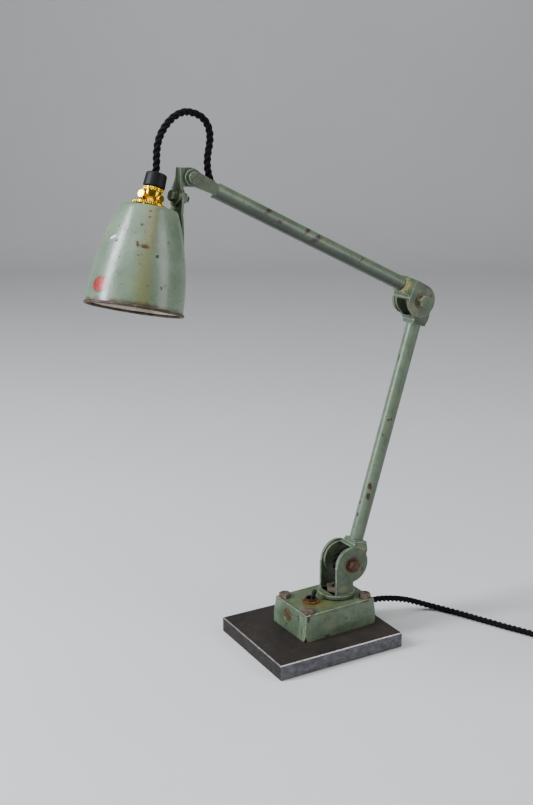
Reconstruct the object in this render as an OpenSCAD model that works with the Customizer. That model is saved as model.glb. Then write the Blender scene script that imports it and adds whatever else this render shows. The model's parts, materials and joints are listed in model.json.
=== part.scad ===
// Jointed metal desk lamp on a steel plate: switch box, two tube arms, bell shade, braided flex.
// Millimetres, +Z up. Origin: middle of the plate's underside. The arms move in the XZ plane.

/* [Base plate] */
// Length of the plate along X
plate_l = 130; // [115:1:200]
// Depth of the plate along Y
plate_d = 110; // [75:1:180]
// Thickness of the plate
plate_t = 15; // [12:0.5:25]
// Chamfer on the plate's edges
plate_chamfer = 0.8; // [0.2:0.1:2]
// How far the plate is turned from square to the box, in degrees
plate_turn = -2; // [-4:0.5:4]

/* [Switch box] */
// Length of the box at its foot
box_l = 80.5; // [78:0.5:100]
// Depth of the box at its foot
box_d = 56.5; // [54:0.5:75]
// Height of the box
box_h = 25; // [25:0.5:45]
// How much narrower the box is at its top, on each side
box_draft = 2.3; // [0:0.1:3]
// Thickness of the box's walls and top
box_wall = 3; // [2:0.1:4]
// Radius of the box's upright corners
box_corner = 3.5; // [2:0.5:5]
// Middle of the box, along X from the plate's middle
box_x = 15; // [-10:1:20]
// Bolt spacing along X
box_bolt_dx = 64; // [60:0.5:66]
// Bolt spacing along Y
box_bolt_dy = 39.5; // [36:0.5:41]
// Diameter of the round plug in the end wall
end_plug_d = 13; // [6:0.5:14]

/* [Toggle switch] */
// Place of the switch along X
switch_x = -2; // [-6:0.5:0]
// Place of the switch along Y
switch_y = -2; // [-5:0.5:5]
// Diameter of the switch's threaded bush
switch_bush_d = 11.8; // [9:0.1:12.5]
// Depth of the switch's body below the box top
switch_depth = 15; // [10:0.5:17]
// Length of the lever above its pivot
lever_l = 12; // [8:0.5:20]
// Diameter of the lever at its tip
lever_d = 4.6; // [3:0.1:6]
// Lean of the lever at rest, in degrees
lever_lean = 24; // [10:1:32]

/* [Swivel and yoke] */
// Place of the swivel axis along X
swivel_x = 28; // [24:0.5:32]
// Diameter of the yoke's round foot
yoke_disc_d = 35; // [34:0.5:40]
// Outside diameter of the hollow swivel stud
stud_d = 13; // [10:0.5:14]
// Bore of the swivel stud, for the flex
stud_bore = 8.4; // [7:0.1:9.5]
// Thickness of the washer under the yoke
swivel_washer_t = 1.5; // [0.5:0.1:3]
// Width over the yoke's two ears
yoke_w = 28; // [27:0.5:34]
// Thickness of every bracket made of strip
strip_t = 2.5; // [2:0.1:3]
// Radius of the yoke's round heads
yoke_r = 17.5; // [16.5:0.5:20]
// Width of the ears below their round heads
yoke_leg_w = 19.5; // [16:0.5:22]
// Height of the shoulder bolt above the box
shoulder_h = 32.5; // [32:0.5:45]
// Distance of the shoulder bolt from the swivel axis
shoulder_x = 8.4; // [0:0.1:10]

/* [Arms] */
// Outside diameter of the arm tubes
tube_d = 13.3; // [12:0.1:15]
// Wall of the arm tubes
tube_wall = 1.4; // [1:0.1:2]
// Shoulder bolt to elbow bolt
lower_arm_l = 252.8; // [180:0.1:340]
// Elbow bolt to head screw, along the tube
upper_arm_l = 258; // [180:0.1:340]
// Distance of each tube's centre line from the bolts
tube_offset = 7.7; // [6:0.1:9]
// Angle of the lower tube above the table, in degrees
lower_angle = 73.3; // [60:0.1:90]
// Angle of the upper tube from +X, in degrees
upper_angle = 154.4; // [140:0.1:170]
// Radius of the lower fork's ears at the shoulder
shoulder_fork_r = 16; // [14:0.5:17]
// Radius of the inner ears at the elbow
knuckle_r = 14; // [12:0.5:15]
// Radius of the outer ears at the elbow
elbow_fork_r = 15; // [14:0.5:18]
// Width over the elbow's outer ears
elbow_w = 25; // [24:0.5:32]
// Distance from the shoulder bolt, and from the elbow bolt, to the end of the lower arm's collars
inner_reach = 22; // [20:0.5:30]
// Length over which a fork draws in to the tube
fork_slope = 5; // [4:0.5:8]

/* [Pivot hardware] */
// Diameter of the shoulder and elbow bolts
bolt_d = 6; // [5:0.5:8]
// Width across the flats of their heads and nuts
bolt_af = 10; // [8:0.5:13]
// Diameter of their washers
washer_d = 14; // [11:0.5:18]
// Diameter of the spacer bushes between the inner ears
bush_d = 12; // [9:0.5:12]
// Radial clearance of every bolt in its hole
bolt_clear = 0.05; // [0.02:0.01:0.1]
// Side clearance between parts that turn on each other
side_clear = 0.2; // [0.1:0.05:0.4]

/* [Head] */
// Length of the flat tongue from the tube's end to the head screw
tongue_l = 24.2; // [22:0.1:34]
// Radius of the tongue's eye
tongue_r = 7; // [6:0.5:8]
// Diameter of the head screw and the tilt bolt
small_bolt_d = 5; // [4:0.5:5]
// Width across the flats of their nuts
small_af = 8; // [7:0.5:9]
// Distance of the tilt bolt below the head screw
tilt_drop = 15.1; // [14:0.1:20]
// Distance of the tilt bolt behind the head screw, towards -X
tilt_back = 9; // [8.5:0.1:9.5]
// Place of the tilt bolt along Y
tilt_y = 4; // [2:0.5:6]
// Distance of the link's web from the head screw
web_x = 10; // [9.8:0.1:10.4]
// Sideways tilt of the shade at rest, in degrees
shade_side = -8.4; // [-20:0.1:20]

/* [Shade] */
// Radius at the top of the shade
shade_top_r = 23.1; // [22:0.1:26]
// Radius half way down
shade_mid_r = 34.5; // [33:0.1:36]
// Radius at the mouth
shade_mouth_r = 38.4; // [36:0.1:44]
// Length of the shade
shade_l = 78; // [70:0.5:100]
// Thickness of the sheet
shade_wall = 1; // [0.8:0.1:1.5]
// Radius of the rolled rim
rim_r = 1.2; // [1.1:0.1:2]
// Lean of the shade and of the link's foot, in degrees
shade_lean = 15.3; // [13:0.1:17]

/* [Lampholder and bulb] */
// Outside diameter of the holder's flange
flange_d = 27.5; // [24:0.5:34]
// Outside diameter of the holder's body inside the shade
holder_d = 26; // [22:0.5:28]
// Length of the holder's body
holder_l = 30; // [24:0.5:34]
// Lean of the holder in the shade's hole, in degrees
holder_lean = 5; // [0:0.5:5]
// Diameter of the black cord grip
grip_d = 17.5; // [14:0.5:22]
// Height of the cord grip
grip_h = 11.5; // [8:0.5:16]
// Diameter of the bulb's glass
bulb_d = 26; // [20:0.5:30]
// Length of the bulb's glass
bulb_l = 32; // [26:0.5:36]

/* [Flex and plug] */
// Diameter of the twisted flex
flex_d = 6; // [5:0.1:7]
// Height of the flex where it leaves the box
flex_exit_z = 22.5; // [22:0.5:30]
// Width of the plug
plug_w = 49; // [44:0.5:54]
// Thickness of the plug
plug_t = 27; // [22:0.5:30]

/* [Hidden] */
$fn = 64;
// Amounts by which cuts overrun and outlines tuck in, so that solids join cleanly
eps = 0.01;
tuck = 0.5;
box_top = plate_t + box_h;
chamfer_cut = plate_chamfer * sqrt(2);
box_bolt_d = 6;
box_bolt_af = 10;
box_bolt_head = 4.2;
thread_depth = 11;
end_plug_y = 4;
end_plug_z = plate_t + box_h * 0.58;
// Y and height above the plate of the small holes in the end wall
small_holes = [[4.5, 5], [-12, 19]];
switch_nut_af = 14;
switch_nut_h = 2.4;
bolt_head = 4;
nut_h = 5;
washer_t = 1.2;
tube_r = tube_d / 2;
tube_bore_r = tube_r - tube_wall;
tube_seat = 4.5;
flex_r = flex_d / 2;
gland_neck_r = flex_r + 1.6;
gland_out = 8;
gland_in = 14;
yoke_floor = box_top + swivel_washer_t;
yoke_floor_t = 3;
shoulder_fork_w = yoke_w - 2 * strip_t - 2 * side_clear;
knuckle_w = elbow_w - 2 * strip_t - 2 * side_clear;
outer_reach = knuckle_r + 2 * side_clear + fork_slope + 1.5;
inner_seat = inner_reach - tube_seat;
outer_seat = outer_reach - tube_seat;
tube_end = upper_arm_l - tongue_l;
mouth_cut_far = 8;
mouth_cut_top = 5;
shoulder_at = [swivel_x + shoulder_x, 0, box_top + shoulder_h];
lower_dir = [cos(lower_angle), 0, sin(lower_angle)];
lower_side = [sin(lower_angle), 0, -cos(lower_angle)];
elbow_at = shoulder_at + lower_arm_l * lower_dir;
upper_dir = [cos(upper_angle), 0, sin(upper_angle)];
upper_side = [sin(upper_angle), 0, -cos(upper_angle)];
head_at = elbow_at + upper_arm_l * upper_dir + tube_offset * upper_side;
tongue_t = 2;
tongue_y = -tube_r;
link_y = tongue_y + tongue_t + side_clear;
link_r = 7.5;
link_top = 8;
link_top_w = 8;
web_in = -web_x + strip_t;
tilt_at = head_at + [-tilt_back, tilt_y, -tilt_drop];
web_bend_z = -tilt_drop + (web_in + tilt_back) / tan(shade_lean);
tilt_r = 8;
small_washer_t = 1;
small_washer_d = 10.4;
small_nut_h = 4;
small_head_h = 3.4;
bell_steps = 18;
strap_t = 2;
strap_x0 = side_clear;
strap_x1 = strap_x0 + strap_t;
strap_w = 21;
strap_drop = 14.5;
strap_end = 0.48;
strap_gap = 0.1;
rivet_z = [-11, -24];
rivet_r = 1.5;
shade_hole_r = 12;
flange_t = 2.6;
waist_r = 6.9;
ring_r = 8;
ring_h = 3.4;
cap_h = 9.4;
grip_at = flange_t + cap_h + ring_h;
screw_angles = [205, 290];
screw_z = flange_t + 4.4;
holder_lift = 1.2;
holder_top = -shade_wall - holder_lift - 1.4;
holder_neck_r = 7.5;
bulb_cap_top = holder_top - 13.2;
bulb_cap_l = 20;
coil_at = [237, -143, 0];
coil_in_r = 24;
coil_out_r = 48;
coil_h = 16.6;
plug_at = [323.5, -165, 0];
plug_lead_z = 12;
// Place and size of each plug pin: x, y, width, depth
pin_places = [[14, 0, 8, 4], [-8.2, 11.1, 4, 6.3], [-8.2, -11.1, 4, 6.3]];
pin_l = 18;

// Routes of the flex, chosen by hand. The last point is where it meets the next piece.
mains_route = [
  [40, 0, 22.5], [52, 0, 22.5], [62, 0, 22.7], [71, -0.3, 22.8], [80, -0.8, 22.2], [90, -1.5, 20.4],
  [101, -2.3, 17.6], [112, -3.2, 14], [122, -4.8, 10], [131, -8, 6.4], [138.5, -13.5, 4.2],
  [144.5, -21.5, 3.2], [149.5, -31.5, 3.1], [154.5, -43, 3.1], [160, -56, 3.1], [166, -70, 3.1],
  [172, -84, 3.1], [178.5, -97.5, 3.1], [184, -111, 3.1], [187.8, -122, 3.1],
  [190, -133, 3.1]
];
plug_route = [
  [245, -189.5, 10.4], [256, -186.5, 7.2], [266, -181.5, 5], [275, -176, 4.6], [284, -170.5, 6.6],
  [292, -166.5, 9.6], [299, -165, 11.6]
];
head_arm_route = [
  [-88, 0, 418.5], [-93, 0, 421.2], [-97.5, 0, 424.5], [-101, 0, 428.8], [-103, 0, 434],
  [-104, 0, 439.5], [-104, 0.3, 445], [-103.2, 0.6, 450.5], [-101.8, 1, 456],
  [-100.8, 1.4, 461.5], [-100.8, 1.8, 467], [-102.2, 2.2, 472.5], [-105.4, 2.6, 477.2],
  [-110, 3, 480.4], [-115.2, 3.3, 482.2], [-118.5, 3.5, 482.7], [-120, 3.6, 482.8]
];
head_shade_route = [
  [-120.5, 3.6, 482.8], [-122, 3.7, 482.7], [-125.6, 3.9, 481.8], [-130.4, 4.2, 479.4], [-134.6, 4.5, 476],
  [-138.2, 4.8, 472], [-141.2, 5.1, 467.6], [-143.4, 5.4, 462.8], [-144.8, 5.7, 457.8],
  [-145.4, 6, 452.8], [-145.6, 6.2, 448.8], [-145.6, 6.4, 445.4], [-145.7, 6.5, 442.4],
  [-146, 6.5, 440], [-146.4, 6.5, 438], [-146.9, 6.5, 436.2], [-147.4, 6.5, 434.4]
];

// ---------- general shapes ----------

// Round bars along Y and along X
module y_cylinder(r, y0, y1, fn = 64) {
  translate([0, y1, 0]) rotate([90, 0, 0]) cylinder(r = r, h = y1 - y0, $fn = fn);
}

module x_cylinder(r, x0, x1, fn = 64) {
  translate([x0, 0, 0]) rotate([0, 90, 0]) cylinder(r = r, h = x1 - x0, $fn = fn);
}

module tube(r_out, r_in, h) {
  difference() {
    cylinder(r = r_out, h = h);
    translate([0, 0, -eps]) cylinder(r = r_in, h = h + 2 * eps);
  }
}

module hexagon(across_flats, h) {
  cylinder(r = across_flats / sqrt(3), h = h, $fn = 6);
}

function unit(v) = v / norm(v);

function tangent(p, i) = unit(p[min(i + 1, len(p) - 1)] - p[max(i - 1, 0)]);

// A round tube swept along a list of points; side is a direction that the route never follows
module sweep(points, r, side, sides = 10) {
  count = len(points);
  rings = [
    for (i = [0 : count - 1])
      let (t = tangent(points, i), u = unit(cross(t, side)), v = cross(t, u))
        for (k = [0 : sides - 1]) points[i] + r * (cos(360 * k / sides) * u + sin(360 * k / sides) * v)
  ];
  walls = [
    for (i = [0 : count - 2], k = [0 : sides - 1])
      let (a = i * sides + k, b = i * sides + (k + 1) % sides) [a, a + sides, b + sides, b]
  ];
  start_cap = [for (k = [0 : sides - 1]) k];
  end_cap = [for (k = [sides - 1 : -1 : 0]) (count - 1) * sides + k];
  polyhedron(points = rings, faces = concat(walls, [start_cap], [end_cap]), convexity = 6);
}

// ---------- placing ----------

module at_lower() translate(shoulder_at) rotate([0, 90 - lower_angle, 0]) children();

module at_lower_top() at_lower() translate([0, 0, lower_arm_l]) mirror([0, 0, 1]) children();

module at_upper() translate(elbow_at) rotate([0, 90 - upper_angle, 0]) children();

// The tilt bolt's own frame: X along the bolt, Z up the strap
module at_tilt() translate(tilt_at) rotate([0, shade_lean, 0]) children();

// The middle of the shade's top, Z up the shade
module at_shade()
  at_tilt() rotate([shade_side, 0, 0]) translate([strap_x0 - strap_gap - shade_top_r, 0, -strap_drop]) children();

module at_holder() at_shade() translate([0, 0, holder_lift]) rotate([0, holder_lean, 0]) children();

module at_box_bolts() {
  for (sx = [-1, 1], sy = [-1, 1])
    translate([box_x + sx * box_bolt_dx / 2, sy * box_bolt_dy / 2, 0]) children();
}

// ---------- base ----------

module base_plate() {
  color("dimgray") difference() {
    rotate([0, 0, plate_turn]) difference() {
      translate([-plate_l / 2, -plate_d / 2, 0]) cube([plate_l, plate_d, plate_t]);
      for (z = [0, plate_t]) {
        for (y = [-plate_d / 2, plate_d / 2])
          translate([0, y, z]) rotate([45, 0, 0]) cube([2 * plate_l, chamfer_cut, chamfer_cut], center = true);
        for (x = [-plate_l / 2, plate_l / 2])
          translate([x, 0, z]) rotate([0, 45, 0]) cube([chamfer_cut, 2 * plate_d, chamfer_cut], center = true);
      }
    }
    at_box_bolts() translate([0, 0, plate_t - thread_depth])
      cylinder(d = box_bolt_d + 2 * bolt_clear, h = thread_depth + 1);
  }
}

// Four-sided block that narrows evenly towards its top
module drafted(l, d, h, draft) {
  intersection() {
    translate([0, d / 2, 0]) rotate([90, 0, 0]) linear_extrude(d)
      polygon([[-l / 2, 0], [l / 2, 0], [l / 2 - draft, h], [-l / 2 + draft, h]]);
    translate([-l / 2, 0, 0]) rotate([90, 0, 90]) linear_extrude(l)
      polygon([[-d / 2, 0], [d / 2, 0], [d / 2 - draft, h], [-d / 2 + draft, h]]);
  }
}

module rounded_prism(l, d, h, r) {
  translate([-l / 2 + r, -d / 2, 0]) cube([l - 2 * r, d, h]);
  translate([-l / 2, -d / 2 + r, 0]) cube([l, d - 2 * r, h]);
  for (sx = [-1, 1], sy = [-1, 1])
    translate([sx * (l / 2 - r), sy * (d / 2 - r), 0]) cylinder(r = r, h = h);
}

module switch_box() {
  boss_r = box_bolt_d / 2 + 3;
  end_x = box_x - box_l / 2;
  color("darkseagreen") difference() {
    translate([box_x, 0, plate_t]) intersection() {
      drafted(box_l, box_d, box_h, box_draft);
      rounded_prism(box_l, box_d, box_h, box_corner);
    }
    difference() {
      translate([box_x, 0, plate_t - eps]) drafted(
        box_l - 2 * box_wall, box_d - 2 * box_wall, box_h - box_wall + eps, box_draft);
      at_box_bolts() cylinder(r = boss_r, h = box_top);
    }
    at_box_bolts() translate([0, 0, plate_t - 1]) cylinder(d = box_bolt_d + 2 * bolt_clear, h = box_h + 2);
    translate([switch_x, switch_y, box_top - box_wall - 1]) cylinder(d = switch_bush_d + 0.2, h = box_wall + 2);
    translate([swivel_x, 0, box_top - box_wall - 1]) cylinder(d = stud_d + 2 * bolt_clear, h = box_wall + 2);
    translate([0, 0, flex_exit_z]) x_cylinder(gland_neck_r, box_x + box_l / 2 - 2 * box_wall, box_x + box_l / 2 + 1);
    translate([0, end_plug_y, end_plug_z]) x_cylinder(end_plug_d / 2, end_x - 1, end_x + 2 * box_wall);
    for (spot = small_holes) translate([0, spot[0], plate_t + spot[1]]) x_cylinder(1.2, end_x - 1, end_x + 2 * box_wall);
  }
}

module box_bolts() {
  color("rosybrown") at_box_bolts() {
    translate([0, 0, plate_t - thread_depth + 1]) cylinder(d = box_bolt_d, h = box_h + thread_depth - 1 + eps);
    translate([0, 0, box_top]) rotate([0, 0, 10]) hexagon(box_bolt_af, box_bolt_head);
  }
}

module end_plug() {
  inner_x = box_x - box_l / 2 + box_draft * 0.58;
  color("peru") translate([inner_x, end_plug_y, end_plug_z]) difference() {
    x_cylinder(end_plug_d / 2, 0.3, box_wall);
    rotate([35, 0, 0]) translate([-0.7, -end_plug_d, -0.6]) cube([2, 2 * end_plug_d, 1.2]);
  }
}

module terminal_block() {
  color("ivory") translate([switch_x + 8, -11, plate_t]) difference() {
    cube([11, 22, 9]);
    for (k = [0 : 2]) translate([5.5, 4 + 7 * k, 3]) cylinder(r = 1.6, h = 8);
  }
}

module switch_body() {
  top = box_top - box_wall;
  color("saddlebrown") difference() {
    union() {
      translate([switch_x - 6.5, switch_y - 9, top - switch_depth]) cube([13, 18, switch_depth]);
      translate([switch_x, switch_y, top - eps]) cylinder(d = switch_bush_d, h = box_wall + switch_nut_h + 1.6);
    }
    translate([switch_x, switch_y, top - 1]) cylinder(d = switch_bush_d - 3, h = box_wall + 10);
  }
}

module switch_nut() {
  color("goldenrod") translate([switch_x, switch_y, box_top]) difference() {
    rotate([0, 0, 14]) hexagon(switch_nut_af, switch_nut_h);
    translate([0, 0, -1]) cylinder(d = switch_bush_d, h = switch_nut_h + 2);
  }
}

module switch_lever() {
  neck = lever_d * 0.62;
  color("black") translate([switch_x, switch_y, box_top]) rotate([0, lever_lean, 0]) rotate_extrude()
    polygon([[0, -2.2], [neck / 2 + 0.3, -1.6], [neck / 2, 0], [neck / 2, 4], [lever_d / 2, lever_l - 2.4],
      [lever_d / 2 - 0.5, lever_l - 0.8], [lever_d / 2 - 1.6, lever_l], [0, lever_l]]);
}

module flex_gland() {
  wall_x = box_x + box_l / 2 - box_draft * (flex_exit_z - plate_t) / box_h;
  neck_r = gland_neck_r;
  // the wall leans, so the flanges stand off it by this much
  off = (neck_r + 1.6) * box_draft / box_h + 0.05;
  color("black") translate([wall_x, 0, flex_exit_z]) rotate([0, 90, 0]) rotate_extrude() polygon([
    [flex_r + 0.05, -gland_in], [flex_r + 1.1, -gland_in], [neck_r - 0.05, -box_wall - off - 1.5],
    [neck_r + 1.4, -box_wall - off - 1.3], [neck_r + 1.4, -box_wall - off], [neck_r - 0.05, -box_wall - off],
    [neck_r - 0.05, off], [neck_r + 1.6, off], [neck_r + 1.4, off + 1.4], [flex_r + 0.8, gland_out],
    [flex_r + 0.05, gland_out]]);
}

// ---------- swivel and yoke ----------

module swivel_washer() {
  color("rosybrown") translate([swivel_x, 0, box_top]) tube(yoke_disc_d / 2 - 2, stud_d / 2 + bolt_clear, swivel_washer_t);
}

// Side view of one yoke ear: a straight leg under a round head
module yoke_ear_outline() {
  leg_top = box_top + shoulder_h;
  translate([swivel_x - yoke_leg_w / 2, yoke_floor]) square([yoke_leg_w, leg_top - yoke_floor]);
  translate([shoulder_at[0], shoulder_at[2]]) circle(r = yoke_r);
}

module yoke() {
  color("darkseagreen") difference() {
    union() {
      translate([swivel_x, 0, yoke_floor]) cylinder(d = yoke_disc_d, h = yoke_floor_t);
      for (y = [-yoke_w / 2 + strip_t, yoke_w / 2])
        translate([0, y, 0]) rotate([90, 0, 0]) linear_extrude(strip_t) yoke_ear_outline();
    }
    translate([swivel_x, 0, yoke_floor - 1]) cylinder(d = stud_d, h = yoke_floor_t + 2);
    translate(shoulder_at) y_cylinder(bolt_d / 2 + bolt_clear, -yoke_w, yoke_w);
  }
}

module swivel_stud() {
  top = yoke_floor + yoke_floor_t;
  foot = box_top - box_wall - 9.5;
  color("rosybrown") translate([swivel_x, 0, 0]) difference() {
    union() {
      translate([0, 0, foot]) cylinder(d = stud_d, h = top - foot + eps);
      translate([0, 0, top]) hexagon(stud_d + 4, 4);
    }
    translate([0, 0, foot - 1]) cylinder(d = stud_bore, h = 40);
  }
}

module swivel_nut() {
  color("goldenrod") translate([swivel_x, 0, box_top - box_wall - side_clear - 7]) difference() {
    hexagon(stud_d + 6, 7);
    translate([0, 0, -1]) cylinder(d = stud_d, h = 9);
  }
}

// ---------- pivots ----------

// Bolt across a pivot: head towards -Y, thread end towards +Y
module pivot_bolt(width) {
  face = width / 2 + washer_t;
  y_cylinder(bolt_d / 2, -face - eps, face + nut_h + 2);
  translate([0, -face, 0]) rotate([90, 0, 0]) hexagon(bolt_af, bolt_head);
}

module pivot_nut(width) {
  face = width / 2 + washer_t;
  translate([0, face + nut_h, 0]) rotate([90, 0, 0]) difference() {
    hexagon(bolt_af, nut_h);
    translate([0, 0, -1]) cylinder(r = bolt_d / 2, h = nut_h + 2);
  }
}

module pivot_washers(width) {
  for (y = [-width / 2, width / 2 + washer_t]) translate([0, y, 0]) rotate([90, 0, 0])
    tube(washer_d / 2, bolt_d / 2 + bolt_clear, washer_t);
}

module pivot_bush(width) {
  translate([0, width / 2, 0]) rotate([90, 0, 0]) tube(bush_d / 2, bolt_d / 2 + bolt_clear, width);
}

module shoulder_bolt() color("rosybrown") translate(shoulder_at) pivot_bolt(yoke_w);
module shoulder_nut() color("rosybrown") translate(shoulder_at) pivot_nut(yoke_w);
module shoulder_washers() color("sienna") translate(shoulder_at) pivot_washers(yoke_w);
module shoulder_bush() color("goldenrod") translate(shoulder_at) pivot_bush(shoulder_fork_w - 2 * strip_t);
module elbow_bolt() color("darkseagreen") translate(elbow_at) rotate([0, 20, 0]) pivot_bolt(elbow_w);
module elbow_nut() color("darkseagreen") translate(elbow_at) pivot_nut(elbow_w);
module elbow_washers() color("sienna") translate(elbow_at) pivot_washers(elbow_w);
module elbow_bush() color("goldenrod") translate(elbow_at) pivot_bush(knuckle_w - 2 * strip_t);

// ---------- arms ----------

// Fork seen from the side: a round ear about the pivot and a cheek that runs up to the tube
module fork_side(ear_r, reach) {
  near = tube_offset - tube_r - 1;
  far = tube_offset + tube_r + 1;
  circle(r = ear_r);
  polygon([[-ear_r * 0.95, ear_r * 0.3], [0, -tuck], [ear_r * 0.995, -ear_r * 0.1], [far, ear_r * 0.55], [far, reach],
    [near, reach], [near, reach - 4]]);
}

// Fork seen from the front: two ears that draw together onto the tube
module fork_front(w, reach) {
  neck = tube_r + 1;
  gap_top = reach - fork_slope - 1.5;
  difference() {
    polygon([[-w / 2, -60], [w / 2, -60], [w / 2, gap_top], [neck, reach - 1.5], [neck, reach],
      [-neck, reach], [-neck, reach - 1.5], [-w / 2, gap_top]]);
    translate([-w / 2 + strip_t, -61]) square([w - 2 * strip_t, gap_top + 61]);
  }
}

module fork(w, ear_r, reach) {
  difference() {
    intersection() {
      translate([0, w / 2, 0]) rotate([90, 0, 0]) linear_extrude(w) fork_side(ear_r, reach);
      translate([-60, 0, 0]) rotate([90, 0, 90]) linear_extrude(120) fork_front(w, reach);
    }
    y_cylinder(bolt_d / 2 + bolt_clear, -w, w);
    translate([tube_offset, 0, reach - tube_seat]) cylinder(r = tube_r, h = 20);
    translate([tube_offset, 0, 0]) cylinder(r = tube_bore_r, h = reach);
  }
}

module shoulder_fork() color("darkseagreen") at_lower() fork(shoulder_fork_w, shoulder_fork_r, inner_reach);
module elbow_knuckle() color("darkseagreen") at_lower_top() fork(knuckle_w, knuckle_r, inner_reach);
module elbow_fork() color("darkseagreen") at_upper() fork(elbow_w, elbow_fork_r, outer_reach);

module lower_tube() {
  color("darkseagreen") at_lower() translate([tube_offset, 0, inner_seat])
    tube(tube_r, tube_bore_r, lower_arm_l - 2 * inner_seat);
}

module upper_tube() {
  color("darkseagreen") at_upper() translate([tube_offset, 0, 0]) difference() {
    translate([0, 0, outer_seat]) tube(tube_r, tube_bore_r, tube_end - outer_seat);
    // flat for the tongue, on the -Y side
    translate([-tube_d, tongue_y - 1, tube_end - 9]) cube([2 * tube_d, tongue_t + 1, 20]);
    // the mouth is cut back on the far side and above, where the flex comes out
    translate([0, tube_r, tube_end]) rotate([45, 0, 0]) cube([3 * tube_d, mouth_cut_far, mouth_cut_far], center = true);
    translate([tube_r, 0, tube_end]) rotate([0, 45, 0]) cube([mouth_cut_top, 3 * tube_d, mouth_cut_top], center = true);
  }
}

module head_tongue() {
  root_w = sqrt(tube_r * tube_r - pow(tongue_y + tongue_t, 2)) - 0.2;
  color("darkseagreen") at_upper() translate([tube_offset, tongue_y + tongue_t, upper_arm_l]) rotate([90, 0, 0])
    difference() {
      union() {
        cylinder(r = tongue_r, h = tongue_t);
        linear_extrude(tongue_t) polygon([[-tongue_r + tuck, 1], [tongue_r - tuck, 1], [root_w, -tongue_l],
          [root_w, -tongue_l - 8.9], [-root_w, -tongue_l - 8.9], [-root_w, -tongue_l]]);
      }
      translate([0, 0, -1]) cylinder(d = small_bolt_d + 2 * bolt_clear, h = tongue_t + 2);
    }
}

// ---------- head ----------

module head_screw() {
  color("lightgray") translate(head_at) difference() {
    union() {
      y_cylinder(small_bolt_d / 2, tongue_y - eps, link_y + strip_t + small_nut_h + 1.5);
      y_cylinder(4.6, tongue_y - 2.6, tongue_y);
    }
    rotate([0, -38, 0]) translate([-10, tongue_y - 4, -0.6]) cube([20, 2.4, 1.2]);
  }
}

module head_nut() {
  color("rosybrown") translate(head_at + [0, link_y + strip_t + small_nut_h, 0]) rotate([90, 0, 0]) difference() {
    rotate([0, 0, 30]) hexagon(small_af, small_nut_h);
    translate([0, 0, -1]) cylinder(d = small_bolt_d, h = small_nut_h + 2);
  }
}

// One piece of strip, bent square: an ear on the head screw, a web, and a leaning foot that
// carries the tilt bolt
module head_link() {
  web_top_y = link_y + link_top_w;
  foot_top = (web_bend_z + tilt_drop) / cos(shade_lean);
  color("darkseagreen") difference() {
    union() {
      translate(head_at) {
        translate([0, link_y + strip_t, 0]) rotate([90, 0, 0]) linear_extrude(strip_t) {
          circle(r = link_r);
          translate([-web_x, -link_r + tuck]) square([web_x, link_top + link_r - tuck]);
        }
        translate([-web_x, 0, 0]) rotate([90, 0, 90]) linear_extrude(strip_t)
          polygon([[link_y, link_top], [web_top_y, link_top], [web_top_y + 2, 0], [tilt_y + tilt_r, web_bend_z],
            [tilt_y - tilt_r, web_bend_z], [link_y, -link_r]]);
      }
      at_tilt() translate([-strip_t, 0, 0]) rotate([90, 0, 90]) linear_extrude(strip_t) {
        circle(r = tilt_r);
        translate([-tilt_r + tuck, 0]) square([2 * (tilt_r - tuck), foot_top + strip_t / 4]);
      }
    }
    translate(head_at) y_cylinder(small_bolt_d / 2 + bolt_clear, link_y - 1, link_y + strip_t + 1);
    at_tilt() x_cylinder(small_bolt_d / 2 + bolt_clear, -strip_t - 1, 1);
  }
}

module tilt_bolt() {
  head_x = -strip_t - small_washer_t;
  color("darkseagreen") at_tilt() {
    x_cylinder(small_bolt_d / 2, head_x - eps, strap_x1 + small_washer_t + small_nut_h + 2.5);
    translate([head_x - small_head_h, 0, 0]) rotate([0, 90, 0]) hexagon(small_af, small_head_h);
  }
}

module tilt_nut() {
  color("sienna") at_tilt() translate([strap_x1 + small_washer_t, 0, 0]) rotate([0, 90, 0]) difference() {
    hexagon(small_af, small_nut_h);
    translate([0, 0, -1]) cylinder(d = small_bolt_d, h = small_nut_h + 2);
  }
}

module tilt_washers() {
  color("darkseagreen") for (x = [-strip_t - small_washer_t, strap_x1])
    at_tilt() translate([x, 0, 0]) rotate([0, 90, 0])
      tube(small_washer_d / 2, small_bolt_d / 2 + bolt_clear, small_washer_t);
}

// The strap's line on the shade, a hair outside the bell
function strap_line(out) =
  [for (k = [0 : 8]) let (u = strap_end * k / 8) [bell_r(u) + strap_gap + out, -u * shade_l]];

function strap_lean(z) = (bell_r(-z / shade_l + 0.02) - bell_r(-z / shade_l - 0.02)) / (0.04 * shade_l);

// Strap that hangs from the tilt bolt and lies along the shade, tapering to a point
module shade_strap() {
  line_x = shade_top_r + strap_gap;
  top = strap_drop + tilt_r;
  tip = strap_end * shade_l;
  color("darkseagreen") at_shade() difference() {
    intersection() {
      translate([0, strap_w, 0]) rotate([90, 0, 0]) linear_extrude(2 * strap_w)
        polygon(concat([[line_x, top]], strap_line(0), flip(strap_line(strap_t)), [[line_x + strap_t, top]]));
      rotate([90, 0, 90]) union() {
        translate([0, strap_drop, 0]) cylinder(r = tilt_r, h = 80);
        linear_extrude(80) polygon([[-tilt_r + tuck, strap_drop + 1], [tilt_r - tuck, strap_drop + 1],
          [strap_w / 2, 2], [strap_w / 2 - 1, -4], [2, -tip], [-2, -tip], [-strap_w / 2 + 1, -4], [-strap_w / 2, 2]]);
      }
    }
    translate([0, 0, strap_drop]) x_cylinder(small_bolt_d / 2 + bolt_clear, 10, 40);
    at_rivets() x_cylinder(rivet_r, -10, 10);
  }
}

// On the strap's outer face at each rivet, X pointing out of the shade
module at_rivets() {
  for (z = rivet_z)
    translate([bell_r(-z / shade_l) + strap_gap + strap_t, 0, z]) rotate([0, -atan(strap_lean(z)), 0]) children();
}

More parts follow.
